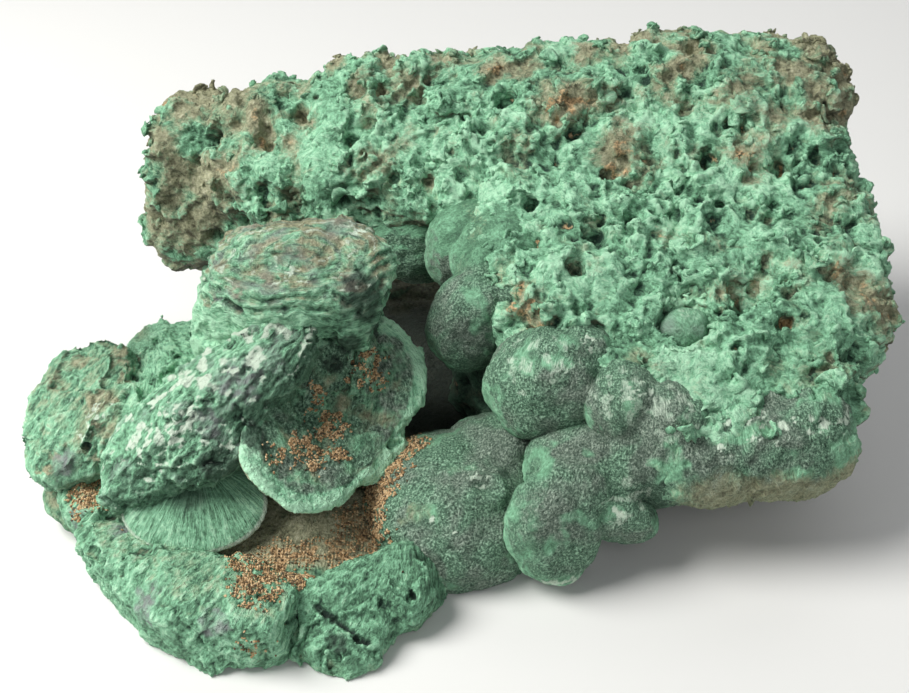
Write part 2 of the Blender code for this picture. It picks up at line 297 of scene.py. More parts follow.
# Where the fibres of each growth spread from, and a few middles
PLATE_HEART = (-18.0, -6.0, 14.0)
SKIRT_HEART = (-16.0, -12.0, 14.0)
RIDGE_HEART = (-6.0, -20.0, 8.0)
KNOB_HEART = (-12.0, 2.0, 24.0)
DISC_HEART = (-12.0, -3.0, 22.0)
BLADE_HEART = (-12.0, -4.0, 28.0)
LEFT_HEART = (-36.0, 2.0, 14.0)
EDGE_HEART = (30.0, 6.0, 18.0)
VELVET_HEART = (8.0, 8.0, 12.0)
FAN_HINGE = (-27.8, -16.2, 12.0)
KNOB_MIDDLE = (-16.5, -3.6)
CRATER = (3.4, -19.6, 10.6)
CRATER_RADII = (1.4, 1.1, 1.6)


def smooth_step(low, high, value):
    part = np.clip((value - low) / (high - low), 0.0, 1.0)
    return part * part * (3.0 - 2.0 * part)


def dots(first, second):
    """The dot product of each pair of rows."""
    return np.einsum("ij,ij->i", first, second)


def chance(cell, seed):
    """A repeatable number from 0 to 1 for each whole-number cell."""
    key = cell.astype(np.int64).astype(np.uint32)
    mixed = key[:, 0] * np.uint32(0x8DA6B343) ^ key[:, 1] * np.uint32(0xD8163841)
    mixed ^= key[:, 2] * np.uint32(0xCB1AB31F) ^ np.uint32((seed * 0x9E3779B1) & 0xFFFFFFFF)
    mixed = (mixed ^ (mixed >> np.uint32(15))) * np.uint32(0x2C1B3C6D)
    mixed = (mixed ^ (mixed >> np.uint32(12))) * np.uint32(0x297A2D39)
    mixed ^= mixed >> np.uint32(15)
    return mixed / 4294967296.0


CORNERS = np.array([(x, y, z) for x in (0, 1) for y in (0, 1) for z in (0, 1)])
AROUND = np.array([(x, y, z) for x in (-1, 0, 1) for y in (-1, 0, 1) for z in (-1, 0, 1)])
SLOPES = np.array([
    (1, 1, 0), (-1, 1, 0), (1, -1, 0), (-1, -1, 0), (1, 0, 1), (-1, 0, 1),
    (1, 0, -1), (-1, 0, -1), (0, 1, 1), (0, -1, 1), (0, 1, -1), (0, -1, -1)], float)


def noise(points, seed):
    """Smooth gradient noise, about -1 to 1, with one wave to each unit of the points."""
    cell = np.floor(points).astype(np.int64)
    part = points - cell
    fade = part**3 * (part * (part * 6 - 15) + 10)
    total = np.zeros(len(points))
    for corner in CORNERS:
        slope = SLOPES[(chance(cell + corner, seed) * len(SLOPES)).astype(int)]
        weight = np.prod(np.where(corner, fade, 1 - fade), axis=1)
        total += weight * dots(slope, part - corner)
    return total


def mottle(points, wide, fine, seed, share=0.5):
    """Noise with a finer noise laid over it."""
    return noise(points / wide, seed) + share * noise(points / fine, seed + 1)


def cloud(points, seed, octaves=3):
    """Noise in octaves, each half the size and half the height of the last."""
    total = np.zeros(len(points))
    for octave in range(octaves):
        total += noise(points * 2.0**octave, seed + octave) / 2.0**octave
    return total


def drift(points, seed):
    """Three noises as a vector, for bending a pattern."""
    return np.stack([noise(points, seed + part) for part in range(3)], axis=1)


def around(points, seed):
    """Each cell next to the points, and the way to the points from the seed scattered in it."""
    base = np.floor(points).astype(np.int64)
    for step in AROUND:
        cell = base + step
        yield cell, points - cell - scatter(cell, seed)


def scatter(cell, seed):
    """Three repeatable numbers from 0 to 1 for each cell."""
    return np.stack([chance(cell, seed + part) for part in range(3)], axis=1)


def cells(points, seed):
    """Distances to the nearest and the second nearest of seeds scattered one to a unit cell."""
    near = np.full(len(points), 9.0)
    second = near.copy()
    for _, away in around(points, seed):
        gap = np.linalg.norm(away, axis=1)
        second = np.minimum(second, np.maximum(near, gap))
        near = np.minimum(near, gap)
    return near, second


def facets(points, seed):
    """Broken faces, about 0 to 1: each scattered seed holds a leaning face, and the highest one shows."""
    best = np.full(len(points), -9.0)
    for cell, away in around(points, seed):
        lean = scatter(cell, seed + 3) - 0.5
        best = np.maximum(best, 1.0 + 1.6 * dots(away, lean) - 1.3 * dots(away, away))
    return best


def shards(points, seed):
    """Broken steps, about -1 to 1: the nearest scattered seed holds one flat leaning face."""
    near = np.full(len(points), 9.0)
    face = np.zeros(len(points))
    for cell, away in around(points, seed):
        gap = dots(away, away)
        held = chance(cell, seed + 6) - 0.5 + 1.8 * dots(away, scatter(cell, seed + 3) - 0.5)
        face = np.where(gap < near, held, face)
        near = np.minimum(near, gap)
    return face


def nearest_cell(points, seed):
    """A number from 0 to 1 for the nearest of seeds scattered one to a unit cell."""
    near = np.full(len(points), 9.0)
    label = np.zeros(len(points))
    for cell, away in around(points, seed):
        gap = np.linalg.norm(away, axis=1)
        label = np.where(gap < near, chance(cell, seed + 3), label)
        near = np.minimum(near, gap)
    return label


def chisel(piece, pitch, share, seed):
    """Flatten the skin into broken faces about pitch wide, each one plane through its own patch."""
    points, normals = get_points(piece), get_normals(piece)
    wobble = 0.12 * drift(points / (0.4 * pitch), seed)
    label = nearest_cell(points / pitch + wobble, seed) + 2 * nearest_cell(0.9 * normals + wobble, seed + 4)
    _, patch = np.unique(label, return_inverse=True)
    count = np.bincount(patch)
    middle, facing = (
        np.stack([np.bincount(patch, values[:, part]) / count for part in range(3)], axis=1)
        for values in (points, normals))
    length = np.linalg.norm(facing, axis=1, keepdims=True) + 1e-9
    facing *= smooth_step(0.74, 0.9, length) / length
    lift = dots(middle[patch] - points, facing[patch])
    lift = np.clip(share * lift, -0.16 * pitch, 0.16 * pitch)
    set_points(piece, points + lift[:, None] * facing[patch])


def folds(points, seed, octaves=3):
    """Sinuous ridges, 0 to 1, with finer ridges over them."""
    total = np.zeros(len(points))
    for octave in range(octaves):
        sharp = np.clip(1 - 2.2 * np.abs(noise(points * 1.9**octave, seed + octave)), 0, 1)
        total += sharp * sharp / 1.7**octave
    return total / 1.7


def rays(points, origin, pitch, length):
    """Points in a frame that spreads from an origin: fine across the rays and long along them."""
    away = points + MIDDLE - origin
    far = np.linalg.norm(away, axis=1, keepdims=True) + 1e-6
    return away / far * (np.mean(far) / pitch) + far / length


def spots(points, rows, seed, rough=0.35):
    """How far each point lies inside ragged round spots, from 0 to 1."""
    total = np.zeros(len(points))
    wobble = mottle(points, 1.1, 0.5, seed)
    for row in rows:
        gap = np.linalg.norm(points + MIDDLE - row[:3], axis=1) / row[3]
        total = np.maximum(total, 1 - smooth_step(0.6, 1.05, gap + rough * wobble))
    return total


def turned(turn):
    return np.array(Euler([math.radians(angle) for angle in turn]).to_matrix())


def inside(points, growth):
    """The points in a growth's own axes, where its rim has a length of 1."""
    centre, radii, turn, _, dish = growth
    own = (points + MIDDLE - centre) @ turned(turn)
    own[:, 2] -= dish * (own[:, 0] ** 2 + own[:, 1] ** 2)
    return own / radii


def crack_depth(points, rows):
    """How deep each point lies inside the rows' growths, from 0 at their rims to 1."""
    far = np.min([np.linalg.norm(inside(points, row), axis=1) for row in rows], axis=0)
    return np.sqrt(np.clip(1 - far * far, 0, 1))


def get_points(piece):
    flat = np.empty(len(piece.data.vertices) * 3, np.float32)
    piece.data.vertices.foreach_get("co", flat)
    return flat.reshape(-1, 3).astype(float) / MM


def set_points(piece, points):
    piece.data.vertices.foreach_set("co", (points * MM).astype(np.float32).ravel())
    piece.data.update()


def get_normals(piece):
    flat = np.empty(len(piece.data.vertices) * 3, np.float32)
    piece.data.vertex_normals.foreach_get("vector", flat)
    return flat.reshape(-1, 3).astype(float)


def get_edges(piece):
    flat = np.empty(len(piece.data.edges) * 2, np.int32)
    piece.data.edges.foreach_get("vertices", flat)
    return flat.reshape(-1, 2)


def pick_only(piece):
    for thing in bpy.context.selected_objects:
        thing.select_set(False)
    piece.select_set(True)
    bpy.context.view_layer.objects.active = piece


def apply_modifier(piece, kind, **settings):
    pick_only(piece)
    modifier = piece.modifiers.new(kind.lower(), kind)
    for key, value in settings.items():
        setattr(modifier, key, value)
    bpy.ops.object.modifier_apply(modifier=modifier.name)


def add_growth(centre, radii, turn, power, dish):
    """Add a ball and shape it into one growth: squared off, dished, turned and set in place."""
    for thing in bpy.context.selected_objects:
        thing.select_set(False)
    bpy.ops.mesh.primitive_ico_sphere_add(subdivisions=BALL_CUTS, radius=1.0)
    ball = bpy.context.object
    points = get_points(ball) * MM
    points /= (np.abs(points) ** power).sum(axis=1, keepdims=True) ** (1 / power)
    points *= radii
    points[:, 2] += dish * (points[:, 0] ** 2 + points[:, 1] ** 2)
    set_points(ball, points @ turned(turn).T + centre - MIDDLE)
    return ball


def fuse(piece, cell):
    """Melt everything in the piece into one closed skin of square cells."""
    apply_modifier(piece, "REMESH", mode="VOXEL", voxel_size=cell * MM)


def soften(piece, rounds, factor=0.5):
    apply_modifier(piece, "SMOOTH", iterations=rounds, factor=factor)


def grow(name, growths, cell):
    """Model the growths, join them and melt them together."""
    balls = [add_growth(*growth) for growth in growths]
    for ball in balls:
        ball.select_set(True)
    bpy.context.view_layer.objects.active = balls[0]
    bpy.ops.object.join()
    piece = bpy.context.object
    piece.name = name
    piece.data.name = name
    rest_flat(piece)
    fuse(piece, cell)
    soften(piece, 4)
    return piece


def spread(edges, values, rounds):
    """Average each vertex's values with its neighbours' again and again."""
    count = len(values)
    ends = np.concatenate((edges[:, 0], edges[:, 1]))
    others = np.concatenate((edges[:, 1], edges[:, 0]))
    share = np.bincount(ends, minlength=count) + 1.0
    for _ in range(rounds):
        values = np.stack([
            (values[:, part] + np.bincount(ends, values[others, part], count)) / share
            for part in range(values.shape[1])], axis=1)
    return values


def relief(piece, rounds):
    """How deep each vertex lies under the smoothed skin, in mm: hollows above 0 and crests below."""
    points = get_points(piece)
    smooth = spread(get_edges(piece), points, rounds)
    return dots(smooth - points, get_normals(piece))


def push(piece, height, sideways=None):
    """Move the skin out along its normals, and sideways where a vector is given."""
    points = get_points(piece) + get_normals(piece) * height[:, None]
    if sideways is not None:
        points += sideways
    set_points(piece, points)


def rest_flat(piece):
    """Flatten what would reach below the resting height."""
    points = get_points(piece)
    points[:, 2] = np.maximum(points[:, 2], REST)
    set_points(piece, points)


def settle(piece):
    """Rest the piece flat, and thin it where it has too many triangles."""
    rest_flat(piece)
    count = sum(len(face.vertices) - 2 for face in piece.data.polygons)
    if count > MOST_TRIANGLES:
        apply_modifier(piece, "DECIMATE", ratio=MOST_TRIANGLES / count, use_collapse_triangulate=True)


def paint(piece, fibre, layers):
    """Keep the fibre pattern's place and each layer of colour on every vertex."""
    attribute = piece.data.attributes.new("fibre", "FLOAT_VECTOR", "POINT")
    attribute.data.foreach_set("vector", fibre.astype(np.float32).ravel())
    for name in LAYERS:
        values = layers.get(name, np.zeros(len(piece.data.vertices)))
        attribute = piece.data.attributes.new(name, "FLOAT", "POINT")
        attribute.data.foreach_set("value", np.clip(values, 0, 1).astype(np.float32))


def lay_over(layers, name, values):
    """Lay more of one layer over what it holds."""
    layers[name] = np.maximum(layers[name], values)


def hand_over(piece, material):
    """Shade and dress a finished piece and set it on the stone's body."""
    pick_only(piece)
    bpy.ops.object.shade_smooth()
    piece.data.materials.clear()
    piece.data.materials.append(material)
    piece.select_set(False)
    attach(piece, BODY)
    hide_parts(NODE)


# ---------------------------------------------------------------- finishes


def add_node(tree, kind, **values):
    node = tree.nodes.new(kind)
    for key, value in values.items():
        if key in node.inputs:
            node.inputs[key].default_value = value
        else:
            setattr(node, key, value)
    return node


def grain(tree, pitch, detail=3.0, bend=0.0, roughness=0.5, source="place"):
    """Noise with waves of about pitch, in metres on object coordinates or in strands on the fibre layer."""
    node = add_node(
        tree, "ShaderNodeTexNoise", Scale=1.0 / pitch, Detail=detail, Distortion=bend, Roughness=roughness)
    start = tree.nodes[source]
    tree.links.new(start.outputs["Object" if source == "place" else "Vector"], node.inputs["Vector"])
    return node.outputs["Fac"]


def layer(tree, name):
    return add_node(tree, "ShaderNodeAttribute", attribute_name=name).outputs["Fac"]


def weigh(tree, start, *parts):
    """A start plus a share of each pattern: every part is a pattern and its share."""
    total = start
    for value, share in parts:
        node = add_node(tree, "ShaderNodeMath", operation="MULTIPLY_ADD")
        tree.links.new(value, node.inputs[0])
        node.inputs[1].default_value = share
        if isinstance(total, float):
            node.inputs[2].default_value = total
        else:
            tree.links.new(total, node.inputs[2])
        total = node.outputs[0]
    return total


def stretch(tree, value, low, high, new_low=0.0, new_high=1.0):
    node = add_node(tree, "ShaderNodeMapRange", interpolation_type="SMOOTHSTEP")
    for index, number in zip((1, 2, 3, 4), (low, high, new_low, new_high)):
        node.inputs[index].default_value = number
    tree.links.new(value, node.inputs[0])
    return node.outputs[0]


def pick_colour(name):
    """One of the stone's colours, with full alpha."""
    return (*getattr(bpy.context.scene.malachite_colours, name), 1.0)


def ramp(tree, value, *stops):
    """Colours along a value, each stop a place and the name of a colour."""
    node = tree.nodes.new("ShaderNodeValToRGB")
    elements = node.color_ramp.elements
    while len(elements) < len(stops):
        elements.new(0.5)
    for element, (place, name) in zip(elements, stops):
        element.position = place
        element.color = pick_colour(name)
    tree.links.new(value, node.inputs[0])
    return node.outputs[0]


def blend_colours(tree, share, first, second):
    """The first colour with a share of the second, which is a socket or the name of a colour."""
    node = add_node(tree, "ShaderNodeMix", data_type="RGBA")
    tree.links.new(share, node.inputs[0])
    tree.links.new(first, node.inputs[6])
    if isinstance(second, str):
        node.inputs[7].default_value = pick_colour(second)
    else:
        tree.links.new(second, node.inputs[7])
    return node.outputs[2]


def new_material(name):
    """An empty material that reads the piece's own object coordinates and fibre layer."""
    material = bpy.data.materials.new(name)
    material.use_nodes = True
    tree = material.node_tree
    add_node(tree, "ShaderNodeTexCoord", name="place")
    add_node(tree, "ShaderNodeAttribute", name="fibre", attribute_name="fibre")
    return material, tree, tree.nodes["Principled BSDF"]


def stone_finish(name, base, strand_share, hair_share, speck_size, sheen, bump):
    """The green stone: deep, leaf and mint tones by relief and strand, with painted shade in hollows and
    painted highlight on crests, under layers of velvet and earth, and of black and pale that also hold
    painted shade and light.
    """
    material, tree, shader = new_material(name)
    broad = grain(tree, 0.0060, 4.0, 0.4)
    middle = grain(tree, 0.0014, 5.0, 0.6, 0.62)
    speck = grain(tree, speck_size, 2.0, 0.0, 0.7)
    dust = grain(tree, 0.00042, 3.0, 0.0, 0.65)
    strand = grain(tree, 1.0, 4.0, 0.3, 0.62, "fibre")
    hair = grain(tree, 0.36, 3.0, 0.2, 0.7, "fibre")

    # Tone: painted shade darkens the hollows and painted highlight lightens the crests.
    tone = weigh(
        tree, base - 0.20 - 0.5 * (strand_share + hair_share + DUST_SHARE), (middle, 0.40),
        (layer(tree, "crest_highlight"), 0.26), (layer(tree, "hollow_shade"), -0.50), (layer(tree, "streak"), 0.36),
        (strand, strand_share), (hair, hair_share), (dust, DUST_SHARE))
    colour = ramp(tree, tone, (0.10, "deep"), (0.40, "leaf"), (0.68, "mint"), (0.96, "frost"))

    mix = weigh(tree, 0.0, (middle, 0.4), (dust, 0.35), (hair, 0.25))
    weathered = ramp(tree, mix, (0.36, "umber"), (0.5, "olive"), (0.64, "straw"))
    share = weigh(tree, -0.45, (layer(tree, "brown"), 1.0), (middle, 0.5), (strand, 0.9))
    colour = blend_colours(tree, stretch(tree, share, 0.42, 1.0), colour, weathered)

    tuft = weigh(tree, 0.0, (speck, 0.55), (hair, 0.45))
    green = ramp(tree, tuft, (0.36, "velvet_dark"), (0.5, "velvet"), (0.63, "velvet_tip"))
    grey = ramp(tree, tuft, (0.36, "velvet_dark"), (0.5, "velvet_grey"), (0.64, "velvet_dust"))
    nap = blend_colours(tree, stretch(tree, broad, 0.42, 0.60), green, grey)
    share = weigh(tree, -0.5, (layer(tree, "velvet"), 1.0), (middle, 1.0))
    colour = blend_colours(tree, stretch(tree, share, 0.2, 0.75), colour, nap)
    colour = blend_colours(tree, weigh(tree, 0.0, (layer(tree, "lilac"), 0.8)), colour, "lilac")
    # Black over dark spots and over painted shade.
    colour = blend_colours(tree, layer(tree, "dark_and_shade"), colour, "black")
    # Crystal over pale frost and over painted light.
    share = weigh(tree, -0.5, (layer(tree, "pale_and_highlight"), 1.0), (hair, 1.0))
    colour = blend_colours(tree, stretch(tree, share, 0.25, 0.8), colour, "crystal")
    soil = ramp(tree, dust, (0.36, "umber"), (0.5, "ochre"), (0.66, "sand"))
    share = weigh(tree, -0.5, (layer(tree, "earth"), 1.0), (dust, 1.0))
    colour = blend_colours(tree, stretch(tree, share, 0.25, 0.7), colour, soil)
    tree.links.new(colour, shader.inputs["Base Color"])

    tree.links.new(stretch(tree, middle, 0.3, 0.7, 0.60, 0.88), shader.inputs["Roughness"])
    shader.inputs["Sheen Weight"].default_value = sheen
    shader.inputs["Sheen Roughness"].default_value = 0.45
    shader.inputs["Sheen Tint"].default_value = pick_colour("mint")
    shader.inputs["Specular IOR Level"].default_value = 0.35
    fine = add_node(tree, "ShaderNodeBump", Strength=bump, Distance=FINE_BUMP)
    tree.links.new(weigh(tree, 0.0, (speck, 1.0), (dust, 1.0)), fine.inputs["Height"])
    coarse = add_node(tree, "ShaderNodeBump", Strength=bump, Distance=COARSE_BUMP)
    tree.links.new(weigh(tree, 0.0, (strand, strand_share), (hair, 1.0)), coarse.inputs["Height"])
    tree.links.new(fine.outputs["Normal"], coarse.inputs["Normal"])
    tree.links.new(coarse.outputs["Normal"], shader.inputs["Normal"])
    return material


def earth_finish(name):
    """Loose earth: dark, rusty and sandy grains, each of one tone with a fine speckle."""
    material, tree, shader = new_material(name)
    dust = grain(tree, 0.0002, 3.0)
    tone = weigh(tree, 0.0, (layer(tree, "streak"), 0.8), (dust, 0.2))
    colour = ramp(tree, tone, (0.12, "umber"), (0.5, "ochre"), (0.9, "sand"))
    tree.links.new(colour, shader.inputs["Base Color"])
    tree.links.new(stretch(tree, dust, 0.3, 0.7, 0.7, 0.95), shader.inputs["Roughness"])
    rough = add_node(tree, "ShaderNodeBump", Strength=0.6, Distance=EARTH_BUMP)
    tree.links.new(dust, rough.inputs["Height"])
    tree.links.new(rough.outputs["Normal"], shader.inputs["Normal"])
    return material


def finish_named(name):
    """The finish of that name, made the first time it is asked for."""
    made = bpy.data.materials.get(name)
    if made:
        return made
    return stone_finish(name, *FINISHES[name]) if name in FINISHES else earth_finish(name)


def dress(piece, finish, fibre, layers):
    """Paint a finished piece's layers, give it its finish and set it on the stone's body."""
    paint(piece, fibre, layers)
    hand_over(piece, finish_named(finish))


# ---------------------------------------------------------------- crust


def froth(points, size):
    """The crumpled crust's height, 0 to 1, and the bend that curls it over."""
    bend = drift(points / (1.9 * size), 11) + 0.45 * drift(points / (0.65 * size), 21)
    bent = points + 0.55 * size * bend
    ridges = folds(bent / (1.35 * size), 51)
    near, second = cells(bent / (1.05 * size), 31)
    wall = 1 - smooth_step(0.0, 0.45, second - near)
    chips = shards(bent / (0.55 * size), 41)
    mix = smooth_step(-0.35, 0.35, noise(points / 7.0, 62))
    height = (0.70 * ridges + 0.20 * wall) * mix + (0.25 * ridges + 0.40 * wall) * (1 - mix)
    return height + 0.34 * chips + 0.12, bend


def crust_piece(name, growths, heave=0.9, size=2.3, high=1.9, cell=0.24, calm_below=None):
    """A piece of crust: lumps, then froth that folds over itself, then a fine crumble."""
    piece = grow(name, growths, CRUST_BALLS_CELL)
    points = get_points(piece)
    push(piece, heave * cloud(points / 7.0, 3, 2) + 0.7 * shards(points / 4.4, 7))
    height, bend = froth(points, size)
    wide, sweep = froth(points, 2.1 * size)
    mix = smooth_step(-0.1, 0.25, noise(points / 6.5, 65))
    height = height + (0.35 * height + 0.9 * wide - height) * mix
    bend = bend + (sweep - bend) * mix[:, None]
    live = 0.30 + 0.95 * smooth_step(-0.45, 0.4, noise(points / 7.0, 61))
    live *= 1 - 0.75 * spots(points, CALM_LIT_SPOTS, 64, 0.3)
    if calm_below is not None:
        live *= smooth_step(calm_below - 1.5, calm_below + 1.5, points[:, 2] + 1.2 * noise(points / 3.0, 63))
    height = (height - 0.5) * high * live
    height -= 2.0 * spots(points, CRUST_PITS, 71, 0.25)
    near, _ = cells((points + 0.8 * bend) / 5.0, 81)
    height -= 1.6 * live * (1 - smooth_step(0.12, 0.32, near))
    push(piece, height, 0.42 * bend * live[:, None])
    fuse(piece, cell)
    points = get_points(piece)
    bent = points + 0.5 * drift(points / 1.5, 94)
    crumble = 0.20 * shards(bent / 1.4, 95) + 0.08 * noise(points / 0.7, 91)
    push(piece, crumble + 0.07 * shards(bent / 0.6, 93))
    settle(piece)
    return piece


def crust_layers(piece):
    """The crust's colour layers: mint in front, weathered at the back and the ends, painted shade in hollows
    and on downward faces, and painted highlight on crests.
    """
    points = get_points(piece)
    plan = points + MIDDLE
    fine = relief(piece, 5)
    broad = relief(piece, 40)
    # Painted shade in the hollows and painted highlight on the crests, from the relief.
    hollow_shade = 0.75 * smooth_step(0.05, 0.7, broad) + 0.45 * smooth_step(0.0, 0.16, fine)
    crest_highlight = 0.75 * smooth_step(0.02, 0.20, -fine) + 0.35 * smooth_step(0.1, 0.6, -broad)
    back = smooth_step(8.0, 34.0, plan[:, 1] + 5 * noise(points / 7.0, 101))
    right = smooth_step(28.0, 48.0, plan[:, 0] + 5 * noise(points / 7.0, 102))
    wing = smooth_step(-22.0, -30.0, plan[:, 0] + 4 * noise(points / 6.0, 107))
    # Painted shade: faces that turn downward are blackened, and turn browner too.
    under = smooth_step(0.0, 0.7, -get_normals(piece)[:, 2])
    rusty = noise(points / 5.5, 103) + 0.5 * noise(points / 2.4, 109)
    muddy = 0.10 + 0.42 * back + 0.26 * right + 0.22 * wing + 0.5 * under
    muddy += (0.55 + 0.45 * back) * rusty - 0.2 * crest_highlight
    soil = 0.8 * smooth_step(0.35, 0.9, broad) * smooth_step(0.0, 0.35, noise(points / 3.0, 104))
    rust = 0.6 * smooth_step(0.38, 0.75, rusty) * smooth_step(-0.2, 0.3, noise(points / 1.3, 110))
    soil = np.maximum(soil, rust)
    soil = np.maximum(soil, spots(points, CRUST_PITS, 105, 0.2) * smooth_step(0.2, 0.7, broad))
    streak = 0.46 + 0.45 * noise(points / 2.6, 106) + 0.65 * noise(points / 7.0, 108)
    # Calm spots are painted paler: partly a paler tone, partly painted light.
    streak += 0.60 * spots(points, CALM_LIT_SPOTS, 112, 0.5) - 0.10 * back - 0.05 * right - 0.15 * wing
    # The black here is painted shade on downward faces.
    return dict(hollow_shade=hollow_shade, crest_highlight=crest_highlight, brown=muddy, earth=soil, streak=streak, dark_and_shade=0.8 * under)


def crust_fibre(points):
    """The crust's strands: they swirl with its folds."""
    return (points + 1.6 * drift(points / 3.0, 96) + 0.5 * drift(points / 1.0, 97)) / (0.9, 0.9, 0.5)


def velvet_piece(name, growths, lump=0.48, cell=0.24):
    """Round velvet growths: low lumps, a few flats and dimples, and a nap of short tufts."""
    piece = grow(name, growths, cell)
    soften(piece, 5)
    points = get_points(piece)
    flats = 0.42 * facets(points / 3.4, 206) + 0.10 * shards((points + drift(points / 2.0, 208)) / 1.9, 207)
    nap = 0.06 * noise(points / 0.5, 204) + 0.05 * noise(points / 0.3, 205)
    push(piece, lump * cloud(points / 5.0, 203, 3) + flats - 0.2 + nap)
    settle(piece)
    return piece


def velvet_layers(piece, share=0.95):
    """Velvet that turns greener in patches, painted mint sheen along its lower left hems, painted shade in
    hollows and highlight on crests, and frosted in spots.
    """
    points = get_points(piece)
    fine = relief(piece, 10)
    broad = relief(piece, 60)
    patch = mottle(points, 4.0, 1.7, 412, 0.6)
    # Painted sheen: faces turned to the lower left lose velvet and turn mint.
    hem_sheen = smooth_step(0.55, 0.85, get_normals(piece) @ (-0.84, -0.18, -0.50))
    velvet = share - 0.6 * smooth_step(0.1, 0.7, patch) - 0.6 * hem_sheen
    frosted = smooth_step(-0.15, 0.45, mottle(points, 0.75, 0.4, 433, 0.6))
    # Painted shade in hollows and painted highlight on crests, from the relief.
    return dict(
        velvet=velvet, streak=0.32 + 0.35 * patch + 0.5 * hem_sheen, brown=0.25 * smooth_step(0.0, 0.6, -patch),
        hollow_shade=0.6 * smooth_step(0.1, 0.8, broad), crest_highlight=0.4 * smooth_step(0.02, 0.1, -fine),
        pale_and_highlight=0.85 * spots(points, PALE_SPOTS, 431, 0.5) * frosted, dark_and_shade=0.7 * spots(points, DARK_SPOTS, 432))


def fibre_piece(name, growths, origin, high=0.22, lump=0.4, cell=0.22, pitch=0.8, length=3.0, face=5.0):
    """A blade or a fan: flat broken faces, and fibres that spread from an origin."""
    piece = grow(name, growths, cell)
    chisel(piece, 1.2 * face, 0.95, 320)
    chisel(piece, 0.5 * face, 0.4, 330)
    fuse(piece, cell)
    soften(piece, 1)
    points = get_points(piece)
    own = rays(points, origin, pitch, length)
    height = 0.5 * lump * cloud(points / 6.0, 303, 2) + 0.35 * lump * shards(points / 1.6, 308)
    height += 0.8 * lump * shards((points + 0.8 * drift(points / 3.0, 310)) / (0.8 * face), 307)
    height += 0.45 * high * noise(own, 301) + 0.7 * high * shards(own * 0.6, 309)
    height += 0.4 * high * shards(own * 1.5, 311)
    push(piece, height)
    points = get_points(piece)
    push(piece, 0.06 * shards(points / 0.55, 305) + 0.04 * noise(points / 0.3, 306))
    settle(piece)
    return piece


def rock_layers(piece, origin, pitch=0.8):
    """Colour layers of broken fibrous stone: relief, painted as shade in hollows and highlight on crests,
    fibres, and the spots that fall on it.
    """
    points = get_points(piece)
    fine = relief(piece, 6)
    broad = relief(piece, 40)
    own = rays(points, origin, pitch, 3.0)
    streak = 0.36 + 0.40 * noise(own, 301) + 0.35 * noise(own * 2.2, 302) + 0.4 * noise(points / 3.0, 304)
    frosted = smooth_step(-0.25, 0.35, mottle(points, 0.8, 0.4, 436))
    greyed = 0.4 + 0.6 * smooth_step(-0.3, 0.3, noise(points / 0.9, 435))
    # Painted shade in hollows and painted highlight on crests, from the relief.
    return dict(
        hollow_shade=0.8 * smooth_step(0.08, 0.6, broad) + 0.4 * smooth_step(0.02, 0.12, fine),
        crest_highlight=0.7 * smooth_step(0.03, 0.15, -fine) + 0.35 * smooth_step(0.1, 0.6, -broad),
        streak=streak,
        lilac=spots(points, LILAC_SPOTS, 433, 0.5) * greyed,
        pale_and_highlight=0.8 * spots(points, PALE_SPOTS, 431, 0.55) * frosted,
        dark_and_shade=0.8 * spots(points, DARK_SPOTS, 432))


# ---------------------------------------------------------------- small loose shapes

def toss(count, seed):
    """Random numbers from 0 to 1, three to each item, the same at every run."""
    index = np.arange(count)[:, None] * (1, 0, 0)
    return np.stack([chance(index, seed + part) for part in range(3)], axis=1)


def leaf():
    """Model one curled flake: a small grid, bent, narrowed and given its thickness."""
    bpy.ops.mesh.primitive_grid_add(x_subdivisions=3, y_subdivisions=2, size=2 * MM)
    piece = bpy.context.object
    points = get_points(piece)
    across, along = points[:, 0], (points[:, 1] + 1) / 2
    bend = 0.35 * along**2 - 0.35 * across**2 + 0.4 * across * along
    ragged = along * (1 - 0.3 * np.abs(across + 0.3))
    set_points(piece, np.stack([across * (0.9 - 0.5 * along**2), bend, ragged], axis=1))
    apply_modifier(piece, "SOLIDIFY", thickness=0.2 * MM, offset=0.0)
    apply_modifier(piece, "TRIANGULATE")
    return piece


def chip():
    """Model one broken chip: a small ball, flattened and sheared."""
    piece = pebble()
    x, y, z = get_points(piece).T
    set_points(piece, np.stack([x + 0.4 * z, 0.45 * y, z], axis=1))
    return piece


def pebble():
    """Model one grain of earth: a small flattened ball."""
    bpy.ops.mesh.primitive_ico_sphere_add(subdivisions=1, radius=MM)
    piece = bpy.context.object
    set_points(piece, get_points(piece) * (1.0, 0.85, 0.7))
    return piece


def choose(hosts, layer_name, count, seed, least_up, patch):
    """Pick places on the hosts' skins, more where the named layer is strong: points, normals and layers."""
    points = np.concatenate([get_points(host) for host in hosts])
    normals = np.concatenate([get_normals(host) for host in hosts])
    kept = {}
    for name in LAYERS:
        kept[name] = np.empty(len(points), np.float32)
        start = 0
        for host in hosts:
            size = len(host.data.vertices)
            host.data.attributes[name].data.foreach_get("value", kept[name][start:start + size])
            start += size
    patchy = 0.08 + 0.92 * smooth_step(-0.25, 0.30, noise(points / patch, seed + 20))
    weight = kept[layer_name] * (normals[:, 2] > least_up) * patchy + 1e-6
    index = np.arange(len(points))[:, None] * (1, 0, 0)
    picks = np.argsort(-np.log(chance(index, seed) + 1e-9) / weight)[:count]
    return points[picks], normals[picks], {name: values[picks] for name, values in kept.items()}


